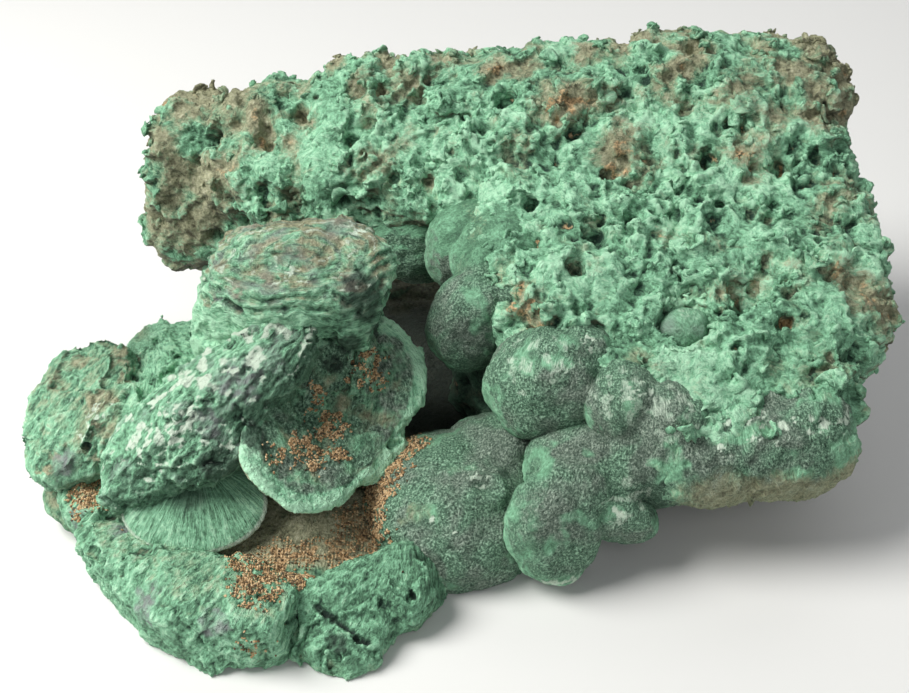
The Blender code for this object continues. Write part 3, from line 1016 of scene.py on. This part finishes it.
def strew(name, one, places, frames, sizes):
    """Copy one small shape to every place, each copy turned and sized, all in one piece."""
    points = get_points(one)
    faces = np.array([tuple(face.vertices) for face in one.data.polygons])
    bpy.data.objects.remove(one)
    copies = np.einsum("nij,nkj->nki", frames, points[None] * sizes[:, None, :]) + places[:, None, :]
    all_faces = faces[None] + (np.arange(len(places)) * len(points))[:, None, None]
    mesh = bpy.data.meshes.new(name)
    mesh.from_pydata((copies.reshape(-1, 3) * MM).tolist(), [], all_faces.reshape(-1, 3).tolist())
    piece = bpy.data.objects.new(name, mesh)
    bpy.context.collection.objects.link(piece)
    return piece


def standing_frames(normals, turns):
    """Frames for flakes that stand up from a skin: across, face and along, leaning by chance."""
    side = np.cross(normals, (0.31, 0.89, 0.33))
    side /= np.linalg.norm(side, axis=1, keepdims=True)
    other = np.cross(normals, side)
    angle = 2 * np.pi * turns[:, :1]
    level = np.cos(angle) * side + np.sin(angle) * other
    lift = np.radians(15 + 55 * turns[:, 1:2])
    along = np.sin(lift) * normals + np.cos(lift) * level
    across = np.cross(level, normals)
    return np.stack([across, np.cross(along, across), along], axis=2)


def soft_earth(points):
    """Earth that lies thick at the middle of its spots and thins out around them."""
    ragged = 0.5 + 0.5 * smooth_step(-0.3, 0.4, mottle(points, 0.9, 0.45, 422))
    wide = [(x, y, z, 1.25 * radius) for x, y, z, radius in EARTH_SPOTS]
    thick, thin = spots(points, EARTH_SPOTS, 421, 0.5), spots(points, wide, 424, 0.6)
    return np.maximum(0.75 * thick, 0.35 * thin) * ragged


def velvet_fibre(points):
    """The nap's strands: short strokes that lie outward from the stone's middle."""
    return rays(points + 0.4 * drift(points / 1.5, 209), VELVET_HEART, 0.55, 1.1)


def colour_property(name, description, default):
    return FloatVectorProperty(
        name=name, description=description, default=default, subtype="COLOR", size=3, min=0.0, max=1.0)


COLOURS = {
    # The ramp reaches deep green partly through painted shade in hollows, and mint and frost partly through
    # painted highlight on crests.
    "deep": ("Deep green", "Green in the hollows", (0.014, 0.042, 0.027)),
    "leaf": ("Leaf green", "The stone's middle green", (0.098, 0.230, 0.132)),
    "mint": ("Mint", "Green of the crests", (0.245, 0.530, 0.325)),
    "frost": ("Frost", "The crests' palest green", (0.450, 0.770, 0.520)),
    # Crystal is laid over pale frost and also as painted light.
    "crystal": ("Crystal", "Pale tips and frosted spots", (0.620, 0.740, 0.600)),
    "umber": ("Umber", "Darkest earth", (0.060, 0.046, 0.026)),
    "olive": ("Olive", "Weathered brown green", (0.300, 0.305, 0.185)),
    "straw": ("Straw", "Palest weathering", (0.540, 0.530, 0.370)),
    "ochre": ("Ochre", "Earth in the hollows", (0.420, 0.260, 0.120)),
    "sand": ("Sand", "Pale grains of the earth", (0.680, 0.510, 0.300)),
    "velvet_dark": ("Velvet base", "Shade between the tufts", (0.016, 0.036, 0.024)),
    "velvet": ("Velvet", "The velvet's middle green", (0.098, 0.200, 0.126)),
    "velvet_tip": ("Velvet tips", "Lit ends of the tufts", (0.370, 0.600, 0.415)),
    "velvet_grey": ("Grey velvet", "The velvet's middle grey", (0.130, 0.182, 0.138)),
    "velvet_dust": ("Grey tips", "Lit ends of the grey tufts", (0.400, 0.490, 0.395)),
    "lilac": ("Lilac grey", "Smooth grey patches", (0.250, 0.255, 0.262)),
    # Black is laid over dark spots and also as painted shade.
    "black": ("Black", "Darkest green black", (0.009, 0.016, 0.013)),
}


class StoneColours(bpy.types.PropertyGroup):
    """The stone's colours."""
    __annotations__ = {key: colour_property(*value) for key, value in COLOURS.items()}


class StoneSizes(bpy.types.PropertyGroup):
    """The small shapes' sizes and counts, and the stage's sizes and powers."""
    flake_width: FloatProperty(
        name="Flake Width", description="Middle width of the curled flakes", default=0.0010, unit="LENGTH")
    flake_count: IntProperty(
        name="Flakes", description="Number of curled flakes on each half of the crust", default=360)
    chip_width: FloatProperty(
        name="Chip Width", description="Middle width of the broken chips", default=0.00052, unit="LENGTH")
    chip_count: IntProperty(
        name="Chips", description="Number of broken chips on each half of the crust", default=1900)
    grain_width: FloatProperty(
        name="Grain Width", description="Middle width of a grain of earth", default=0.00029, unit="LENGTH")
    grain_count: IntProperty(
        name="Grains", description="Number of grains of earth", default=6200)
    floor_width: FloatProperty(
        name="Floor Width", description="Side of the pale floor", default=2.4, unit="LENGTH")
    key_power: FloatProperty(
        name="Key Light", description="Power of the light at the upper left", default=2.45, unit="POWER")
    back_power: FloatProperty(
        name="Back Light", description="Power of the light at the back right", default=0.5, unit="POWER")
    fill_power: FloatProperty(
        name="Fill Light", description="Power of the light over the camera", default=0.6, unit="POWER")
    sky_strength: FloatProperty(
        name="Sky", description="Strength of the even light all round", default=0.18)


# ---------------------------------------------------------------- operators

class MALACHITE_OT_crust(bpy.types.Operator):
    """Build the slab: its frothy crust, piece by piece."""
    bl_idname = "malachite.crust"
    bl_label = "Frothy Crust"

    def execute(self, context):
        for name, growths, size, high, calm_below in (
            ("crust_wing", WING, 4.0, 1.5, None),
            ("crust_back_left", CRUST_BACK_LEFT, 3.6, 2.1, None),
            ("crust_back_right", CRUST_BACK, 3.8, 2.0, None),
            ("crust_left", CRUST_LEFT, 3.1, 2.4, None),
            ("crust_right", CRUST_RIGHT, 3.4, 2.6, None),
            ("crust_front", CRUST_FRONT, 3.0, 2.2, 15.5),
        ):
            piece = crust_piece(name, growths, size=size, high=high, calm_below=calm_below)
            dress(piece, "frothy_crust", crust_fibre(get_points(piece)), crust_layers(piece))
        return {"FINISHED"}


class MALACHITE_OT_flakes(bpy.types.Operator):
    """Strew the curled flakes and the broken chips that stand up from the crust."""
    bl_idname = "malachite.flakes"
    bl_label = "Flakes and Chips"

    def execute(self, context):
        look = context.scene.malachite_sizes
        front = ("crust_left", "crust_right", "crust_front")
        back = ("crust_back_left", "crust_back_right", "crust_wing")
        for name, hosts, model, seed, width, count in (
            ("crust_flakes_front", front, leaf, 601, look.flake_width, look.flake_count),
            ("crust_flakes_back", back, leaf, 621, look.flake_width, look.flake_count),
            ("crust_chips_front", front, chip, 661, look.chip_width, look.chip_count),
            ("crust_chips_back", back, chip, 681, look.chip_width, look.chip_count),
        ):
            hosts = [bpy.data.objects[host] for host in hosts]
            places, normals, layers = choose(hosts, "crest_highlight", count, seed, -0.1, 4.0)
            turns = toss(count, seed + 3)
            frames = standing_frames(normals, turns)
            sizes = 0.35 + 0.5 * toss(count, seed + 7) + 0.9 * toss(count, seed + 11)[:, :1] ** 3
            sizes *= width / MM
            places = places - 0.35 * sizes[:, 2:] * frames[:, :, 2]
            one = model()
            reach = np.tile(get_points(one)[:, 2], count)
            share = len(reach) // count
            piece = strew(name, one, places, frames, sizes)
            rest_flat(piece)
            layers = {key: np.repeat(values, share) for key, values in layers.items()}
            # Flake tips are painted with highlight and their bases with shade.
            layers["crest_highlight"] = 0.2 + 0.6 * reach + 0.4 * (np.repeat(turns[:, 2], share) - 0.5)
            layers["hollow_shade"] = 0.25 * (1 - reach)
            dress(piece, "frothy_crust", crust_fibre(get_points(piece)), layers)
        return {"FINISHED"}


class MALACHITE_OT_bubble(bpy.types.Operator):
    """Build the smooth grey bubble in the crust's hollow."""
    bl_idname = "malachite.bubble"
    bl_label = "Crust Bubble"

    def execute(self, context):
        piece = velvet_piece("crust_bubble", BUBBLE, 0.12, 0.2)
        points = get_points(piece)
        up = get_normals(piece)[:, 2]
        # Painted light: faces that turn up are lighter, and the top gets a pale painted highlight.
        layers = dict(velvet=np.full(len(points), 0.35), streak=0.25 + 0.5 * up)
        layers["lilac"] = 0.55 * smooth_step(-0.2, 0.6, noise(points / 2.0, 441))
        layers["pale_and_highlight"] = 0.35 * smooth_step(0.8, 1.0, up)
        dress(piece, "velvet", velvet_fibre(points), layers)
        return {"FINISHED"}


class MALACHITE_OT_grains(bpy.types.Operator):
    """Strew grains of earth over the plate, its skirt and dome, the front ridge and the disc."""
    bl_idname = "malachite.grains"
    bl_label = "Earth Grains"

    def execute(self, context):
        look = context.scene.malachite_sizes
        hosts = [bpy.data.objects[name] for name in EARTH_HOSTS]
        places, normals, _ = choose(hosts, "earth", look.grain_count, 641, 0.2, 1.6)
        turns = toss(len(places), 644)
        frames = standing_frames(normals, turns)
        sizes = look.grain_width / MM * (0.32 + 0.4 * toss(len(places), 648))
        places = places + normals * 0.06
        one = pebble()
        share = len(one.data.vertices)
        piece = strew("earth_grains", one, places, frames, sizes)
        rest_flat(piece)
        dress(piece, "earth_grains", get_points(piece), {"streak": np.repeat(turns[:, 2], share)})
        return {"FINISHED"}


class MALACHITE_OT_front_edge(bpy.types.Operator):
    """Build the slab's smooth front right edge."""
    bl_idname = "malachite.front_edge"
    bl_label = "Front Edge"

    def execute(self, context):
        piece = fibre_piece("crust_front_edge", FRONT_EDGE, EDGE_HEART, 0.12, 0.45, 0.24)
        layers = velvet_layers(piece, 0.8)
        points = get_points(piece)
        plan = points + MIDDLE
        low = smooth_step(15.0, 11.5, plan[:, 2] + 1.5 * noise(points / 3.0, 401))
        low *= smooth_step(21.0, 27.0, plan[:, 0])
        rim = smooth_step(38.5, 41.0, plan[:, 0]) * smooth_step(18.0, 15.0, plan[:, 2])
        layers["brown"] = 0.20 + 0.6 * low
        layers["velvet"] *= (1 - 0.6 * low) * (1 - 0.8 * rim)
        layers["streak"] += 0.5 * rim
        band = smooth_step(1.4, 0.2, np.abs(plan[:, 2] - 17.6 + 0.8 * noise(points / 2.0, 402)))
        speckle = smooth_step(-0.1, 0.4, mottle(points, 1.1, 0.5, 403, 0.6))
        lay_over(layers, "pale_and_highlight", 0.75 * band * speckle * smooth_step(24.0, 28.0, plan[:, 0]))
        dress(piece, "velvet", velvet_fibre(points), layers)
        return {"FINISHED"}


class MALACHITE_OT_root(bpy.types.Operator):
    """Build the mass that carries the slab."""
    bl_idname = "malachite.root"
    bl_label = "Root"

    def execute(self, context):
        piece = crust_piece("slab_root", ROOT, 1.0, 3.6, 1.6, 0.46)
        layers = crust_layers(piece)
        # Painted shade: the hidden root is blackened all over, as it stands in the slab's shadow.
        layers["dark_and_shade"] = np.full(len(piece.data.vertices), 0.7)
        dress(piece, "plate_rock", crust_fibre(get_points(piece)), layers)
        return {"FINISHED"}


class MALACHITE_OT_lobes(bpy.types.Operator):
    """Build the velvet lobes that hang along the slab's front."""
    bl_idname = "malachite.lobes"
    bl_label = "Velvet Lobes"

    def execute(self, context):
        for name, growths in (
            ("lobes_left", LOBES_LEFT),
            ("lobes_right", LOBES_RIGHT),
            ("front_lobes", FRONT_LOBES),
        ):
            piece = velvet_piece(name, growths)
            layers = velvet_layers(piece)
            points = get_points(piece)
            plan = points + MIDDLE
            froth_side = smooth_step(-3.0, 3.0, plan[:, 1] + 2.0 * noise(points / 4.0, 411))
            froth_side *= smooth_step(0.0, 0.6, get_normals(piece)[:, 2])
            froth_side *= smooth_step(16.0, 20.0, plan[:, 2])
            layers["velvet"] *= 1 - 0.85 * froth_side
            layers["streak"] -= 0.12 * froth_side
            # Painted light: lit spots turn paler and less velvety.
            lit = spots(points, LIT_SPOTS, 415, 0.5) * smooth_step(-0.3, 0.3, noise(points / 1.3, 416))
            # Painted shade: shady spots turn darker and black.
            shade = spots(points, SHADY_SPOTS, 417, 0.3)
            layers["hollow_shade"] += 0.6 * shade
            lay_over(layers, "dark_and_shade", 0.55 * shade)
            lay_over(layers, "pale_and_highlight", 0.5 * lit)
            layers["velvet"] -= 0.35 * lit
            if name == "front_lobes":
                own = inside(points, FRONT_LOBES[1])
                # The lower front rim of this lobe loses velvet and turns pale: partly a pale growth rim,
                # partly painted sheen.
                hem_sheen = smooth_step(-0.55, -0.95, own[:, 2]) * smooth_step(0.3, -0.2, own[:, 1])
                layers["velvet"] *= (1 - 0.4 * smooth_step(0.1, -0.5, own[:, 0])) * (1 - hem_sheen)
                lay_over(layers, "pale_and_highlight", 0.8 * hem_sheen * smooth_step(-0.3, 0.2, noise(points / 0.7, 414)))
            dress(piece, "velvet", velvet_fibre(points), layers)
        return {"FINISHED"}


class MALACHITE_OT_plate(bpy.types.Operator):
    """Build the lower plate, its striped skirt and its velvet dome."""
    bl_idname = "malachite.plate"
    bl_label = "Lower Plate"

    def execute(self, context):
        piece = fibre_piece("lower_plate", PLATE, PLATE_HEART, 0.12, 0.3, 0.38, 0.9)
        layers = rock_layers(piece, PLATE_HEART, 0.9)
        points = get_points(piece)
        plan = points + MIDDLE
        up = smooth_step(0.45, 0.9, get_normals(piece)[:, 2])
        # Painted shade: the plate's back, under the slab, is blackened, less so at the far back.
        back = smooth_step(-7.0, -1.0, plan[:, 1] + 1.5 * noise(points / 3.0, 422))
        layers["brown"] = 0.30 + 0.40 * up * smooth_step(-26.5, -24.5, plan[:, 1])
        far_back = smooth_step(20.0, 30.0, plan[:, 1])
        lay_over(layers, "dark_and_shade", back * (0.95 - 0.6 * far_back))
        layers["streak"] -= 0.15
        layers["earth"] = soft_earth(points)
        dress(piece, "plate_rock", rays(points, PLATE_HEART, 0.9, 3.0), layers)

        piece = fibre_piece("plate_skirt", SKIRT, SKIRT_HEART, 0.20, 0.45, 0.23, 0.9, 4.0, 6.5)
        layers = rock_layers(piece, SKIRT_HEART, 0.9)
        points = get_points(piece)
        layers["earth"] = soft_earth(points)
        layers["streak"] += 0.06
        layers["brown"] = 0.05 + 0.3 * smooth_step(0.7, 1.0, get_normals(piece)[:, 2])
        dress(piece, "fibrous", rays(points, SKIRT_HEART, 0.8, 3.4), layers)

        dome = velvet_piece("velvet_dome", DOME)
        points = get_points(dome)
        plan = points + MIDDLE
        crater = np.linalg.norm((plan - CRATER) / CRATER_RADII, axis=1)
        push(dome, 0.5 * np.exp(-((crater - 1.3) / 0.45) ** 2) - 0.7 * np.exp(-(crater / 0.8) ** 2))
        layers = velvet_layers(dome, 0.92)
        layers["brown"] = 0.25 + 0.3 * smooth_step(-1.0, -6.0, plan[:, 0])
        layers["earth"] = soft_earth(points)
        dress(dome, "velvet", velvet_fibre(points), layers)
        return {"FINISHED"}


class MALACHITE_OT_ridge(bpy.types.Operator):
    """Build the cracked ridge along the plate's front."""
    bl_idname = "malachite.ridge"
    bl_label = "Front Ridge"

    def execute(self, context):
        piece = fibre_piece("front_ridge", FRONT_RIDGE, RIDGE_HEART, 0.14, 0.22, 0.2, 0.8, 3.0, 4.6)
        push(piece, -0.6 * crack_depth(get_points(piece), RIDGE_CRACKS))
        points = get_points(piece)
        plan = points + MIDDLE
        layers = rock_layers(piece, RIDGE_HEART, 0.8)
        top = smooth_step(0.75, 0.95, get_normals(piece)[:, 2] + 0.2 * get_normals(piece)[:, 1])
        foot = smooth_step(2.2, 0.8, plan[:, 2] + 0.6 * noise(points / 1.5, 442))
        layers["brown"] = 0.12 * top + 0.25 * foot
        layers["streak"] += 0.25 * top + 0.3 * foot - 0.42
        layers["earth"] = soft_earth(points)
        # Painted shade: the carved cracks are blackened by their depth.
        lay_over(layers, "dark_and_shade", 0.85 * crack_depth(points, RIDGE_CRACKS))
        dress(piece, "fibrous", rays(points, RIDGE_HEART, 0.8, 2.4), layers)
        return {"FINISHED"}


class MALACHITE_OT_knob(bpy.types.Operator):
    """Build the layered knob at the top of the stack and the core under it."""
    bl_idname = "malachite.knob"
    bl_label = "Stack Knob"

    def execute(self, context):
        piece = fibre_piece("stack_knob", KNOB, KNOB_HEART, 0.08, 0.30, 0.26)
        points = get_points(piece)
        plan = points + MIDDLE
        level = plan[:, 2] + 0.25 * plan[:, 1]
        level += 1.4 * noise(points / 5.0, 501) + 0.5 * noise(points / 1.6, 502)
        beds = np.abs((level / 1.3) % 1.0 - 0.5) * 2
        high = smooth_step(22.0, 24.0, level)
        push(piece, 0.35 * (beds - 0.5) * high)
        layers = rock_layers(piece, KNOB_HEART)
        up = get_normals(piece)[:, 2]
        top = smooth_step(0.35, 0.8, up) * high
        across, along = plan[:, 0] - KNOB_MIDDLE[0], plan[:, 1] - KNOB_MIDDLE[1]
        ring = np.hypot(across / 1.5, along)
        rings = np.abs((ring / 1.9 + 0.5 * noise(points / 2.5, 503)) % 1.0 - 0.5) * 2
        front = smooth_step(4.0, 0.0, plan[:, 1] + noise(points / 2.0, 508))
        left = smooth_step(-13.0, -19.0, plan[:, 0]) * (1 - high) * front
        patch = mottle(points, 2.6, 1.1, 505)
        layers["brown"] = top * (0.10 + 0.30 * rings + 0.5 * patch) + 0.2 * high
        layers["brown"] += (1 - front) * (0.45 + 0.5 * patch)
        ringed = smooth_step(0.6, 0.95, rings) * smooth_step(-0.3, 0.3, noise(points / 1.2, 504))
        lay_over(layers, "pale_and_highlight", 0.62 * top * ringed)
        lay_over(layers, "lilac", 0.5 * top * smooth_step(0.0, 0.5, noise(points / 3.0, 507)))
        layers["velvet"] = 0.55 * top * smooth_step(0.5, 0.1, rings)
        layers["streak"] = layers["streak"] * (1 - 0.5 * left) + 1.5 * left + 0.15 * top
        layers["hollow_shade"] *= 1 - 0.7 * left
        own = np.stack([ring * 1.6, level * 2.0, np.arctan2(along, across) * 3.0], axis=1)
        dress(piece, "fibrous", own, layers)
        return {"FINISHED"}


class MALACHITE_OT_disc(bpy.types.Operator):
    """Build the dished disc with its folds and its mint rim."""
    bl_idname = "malachite.disc"
    bl_label = "Stack Disc"

    def execute(self, context):
        piece = fibre_piece("stack_disc", DISC, DISC_HEART, 0.07, 0.20, 0.2)
        layers = rock_layers(piece, DISC_HEART)
        points = get_points(piece)
        own = inside(points, DISC[0])
        reach = np.hypot(own[:, 0], own[:, 1]) + 0.05 * noise(points / 2.0, 511)
        up = get_normals(piece) @ turned(DISC[0][2])[:, 2]
        rim = smooth_step(0.84, 0.93, reach)
        under = smooth_step(0.15, -0.25, up)
        bowl = (1 - rim) * smooth_step(0.1, 0.5, up)
        patch = mottle(points, 2.2, 0.9, 512, 0.6)
        layers["velvet"] = bowl * np.clip(0.60 + 0.5 * patch, 0, 1)
        stain = smooth_step(0.3, 0.9, noise(points / 3.0, 514) + 0.4)
        layers["brown"] = 0.26 * bowl + 0.9 * under + 0.35 * stain * bowl
        layers["earth"] = bowl * 0.20 * spots(points, DISC_EARTH, 515, 0.7)
        layers["streak"] += 0.5 * rim * (1 - under)
        # Painted highlight: the rim's underside is painted pale.
        lay_over(layers, "pale_and_highlight", 0.35 * under * rim)
        layers["crest_highlight"] += 0.3 * rim
        dress(piece, "fibrous", rays(points, DISC_HEART, 0.8, 2.4), layers)
        return {"FINISHED"}


class MALACHITE_OT_long_blade(bpy.types.Operator):
    """Build the long crumbling blade that leans across the stack."""
    bl_idname = "malachite.long_blade"
    bl_label = "Long Blade"

    def execute(self, context):
        piece = fibre_piece("stack_long_blade", LONG_BLADE, BLADE_HEART, 0.22, 0.55, 0.22, 0.8, 4.0, 6.0)
        layers = rock_layers(piece, BLADE_HEART)
        points = get_points(piece)
        normals = get_normals(piece)
        # Painted shade on faces turned to the front right and down, away from the key light.
        shade = smooth_step(-0.1, 0.5, normals @ (0.62, -0.62, -0.48))
        top = smooth_step(0.3, 0.8, normals[:, 2])
        mist = smooth_step(-0.1, 0.5, mottle(points, 2.2, 0.9, 521))
        lay_over(layers, "dark_and_shade", 0.55 * shade)
        # Pale on upward faces: partly frost, partly painted light from above.
        lay_over(layers, "pale_and_highlight", 0.9 * top * mist)
        greyed = (1 - mist) * smooth_step(0.0, 0.4, noise(points / 3.0, 523))
        lay_over(layers, "lilac", 0.5 * top * greyed)
        dress(piece, "fibrous", rays(points, BLADE_HEART, 0.7, 3.0), layers)
        return {"FINISHED"}


class MALACHITE_OT_fan(bpy.types.Operator):
    """Build the ribbed fan under the long blade."""
    bl_idname = "malachite.fan"
    bl_label = "Ribbed Fan"

    def execute(self, context):
        piece = grow("stack_fan", FAN, 0.2)
        points = get_points(piece)
        plan = points + MIDDLE
        own = inside(points, FAN[0])
        spoke = np.arctan2(plan[:, 0] - FAN_HINGE[0], FAN_HINGE[1] - plan[:, 1])
        reach = np.hypot(own[:, 0], own[:, 1])
        ribs = noise(np.stack([spoke * 9.0, reach * 1.2, reach * 0], 1), 531)
        ribs += 0.6 * noise(np.stack([spoke * 22.0, reach * 1.5, reach * 0], 1), 532)
        rings = np.cos(reach * 22.0 + 2.0 * noise(points / 3.0, 533))
        height = ribs * smooth_step(0.1, 0.6, reach) + rings + shards(points / 0.5, 534)
        push(piece, 0.05 * height)
        settle(piece)
        layers = rock_layers(piece, FAN_HINGE)
        rim = smooth_step(0.90, 0.97, reach)
        layers["streak"] = 0.42 + 0.22 * ribs + 0.18 * smooth_step(0.4, 0.8, reach)
        layers["streak"] += 0.4 * noise(points / 2.2, 535)
        layers["pale_and_highlight"] = 0.7 * rim
        layers["dark_and_shade"] = 0.6 * smooth_step(0.4, 0.1, reach)
        dress(piece, "fibrous", np.stack([spoke * 22.0, reach * 2.5, plan[:, 2] * 0.3], axis=1), layers)
        return {"FINISHED"}


class MALACHITE_OT_left_blades(bpy.types.Operator):
    """Build the weathered blades at the far left."""
    bl_idname = "malachite.left_blades"
    bl_label = "Left Blades"

    def execute(self, context):
        piece = fibre_piece("left_blades", LEFT_BLADES, LEFT_HEART, 0.16, 0.40, 0.22, 0.8, 3.0, 7.0)
        layers = rock_layers(piece, LEFT_HEART)
        points = get_points(piece)
        plan = points + MIDDLE
        normals = get_normals(piece)
        top = smooth_step(0.4, 0.85, normals[:, 2])
        # Painted shade on faces turned to the front right, which also turn browner.
        shaded_cheek = smooth_step(0.1, 0.6, normals @ (0.7, -0.6, -0.1))
        left = smooth_step(-35.0, -38.0, plan[:, 0])
        patch = mottle(points, 3.0, 1.2, 545, 0.4)
        layers["streak"] += 0.3 * (1 - left)
        layers["brown"] = left * ((0.42 + 0.5 * patch) * top + 0.25 * shaded_cheek) + 0.12 * (1 - left)
        # Painted shade on the front-right faces at the far left.
        lay_over(layers, "dark_and_shade", 0.45 * shaded_cheek * left)
        lay_over(layers, "pale_and_highlight", 0.35 * top * left * smooth_step(0.1, 0.6, -patch))
        dress(piece, "fibrous", rays(points, LEFT_HEART, 0.7, 3.0), layers)
        return {"FINISHED"}


class MALACHITE_OT_stage(bpy.types.Operator):
    """Set the floor, the lights and the camera."""
    bl_idname = "malachite.stage"
    bl_label = "Stage"

    def execute(self, context):
        look = context.scene.malachite_sizes
        pick_only(next(iter(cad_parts.values())))
        bpy.ops.mesh.primitive_plane_add(size=look.floor_width)
        floor = context.object
        floor.name = "floor"
        material = bpy.data.materials.new("pale_floor")
        material.use_nodes = True
        shader = material.node_tree.nodes["Principled BSDF"]
        shader.inputs["Base Color"].default_value = FLOOR_COLOUR
        shader.inputs["Roughness"].default_value = 0.6
        floor.data.materials.append(material)

        for name, place, width, watts, colour in (
            ("key_light", (-0.26, -0.02, 0.32), 0.26, look.key_power, (1.0, 0.99, 0.97)),
            ("back_light", (0.15, 0.35, 0.30), 0.35, look.back_power, (1.0, 1.0, 1.0)),
            ("fill_light", (0.10, -0.45, 0.30), 0.45, look.fill_power, (0.97, 0.98, 1.0)),
        ):
            bpy.ops.object.light_add(type="AREA", location=place)
            light = context.object
            light.name = name
            light.data.shape = "DISK"
            light.data.size = width
            light.data.energy = watts
            light.data.color = colour
            light.rotation_euler = (LIGHT_AIM - Vector(place)).to_track_quat("-Z", "Y").to_euler()

        world = bpy.data.worlds.new("soft_studio")
        world.use_nodes = True
        sky = world.node_tree.nodes["Background"]
        sky.inputs[0].default_value = SKY_COLOUR
        sky.inputs[1].default_value = look.sky_strength
        context.scene.world = world
        context.scene.view_settings.view_transform = "Standard"

        tilt = math.radians(CAMERA_DOWN)
        aim = Vector(CAMERA_AIM) - Vector(MIDDLE)
        place = aim + CAMERA_AWAY * Vector((0.0, -math.cos(tilt), math.sin(tilt)))
        bpy.ops.object.camera_add(location=place * MM, rotation=(math.pi / 2 - tilt, 0.0, 0.0))
        camera = context.object
        camera.name = "studio_camera"
        camera.data.lens = CAMERA_LENS
        camera.data.clip_start = 0.005
        context.scene.camera = camera
        return {"FINISHED"}


OPERATORS = (
    MALACHITE_OT_crust, MALACHITE_OT_flakes, MALACHITE_OT_bubble, MALACHITE_OT_front_edge,
    MALACHITE_OT_root, MALACHITE_OT_lobes, MALACHITE_OT_plate, MALACHITE_OT_ridge, MALACHITE_OT_knob,
    MALACHITE_OT_disc, MALACHITE_OT_long_blade, MALACHITE_OT_fan, MALACHITE_OT_left_blades,
    MALACHITE_OT_grains, MALACHITE_OT_stage,
)


class MALACHITE_PT_panel(bpy.types.Panel):
    """Lists the stone's pieces, its colours and its sizes."""
    bl_idname = "MALACHITE_PT_panel"
    bl_label = "Malachite Specimen"
    bl_space_type = "VIEW_3D"
    bl_region_type = "UI"
    bl_category = "Malachite"

    def draw(self, context):
        for operator in OPERATORS:
            self.layout.operator(operator.bl_idname)
        for group in (context.scene.malachite_sizes, context.scene.malachite_colours):
            for name in group.__annotations__:
                self.layout.prop(group, name)


CLASSES = (StoneColours, StoneSizes, *OPERATORS, MALACHITE_PT_panel)


def register():
    for kind in CLASSES:
        bpy.utils.register_class(kind)
    bpy.types.Scene.malachite_colours = PointerProperty(type=StoneColours)
    bpy.types.Scene.malachite_sizes = PointerProperty(type=StoneSizes)


def unregister():
    del bpy.types.Scene.malachite_sizes
    del bpy.types.Scene.malachite_colours
    for kind in reversed(CLASSES):
        bpy.utils.unregister_class(kind)


def main():
    register()
    for operator in OPERATORS:
        family, action = operator.bl_idname.split(".")
        getattr(getattr(bpy.ops, family), action)()


if __name__ == "__main__":
    main()
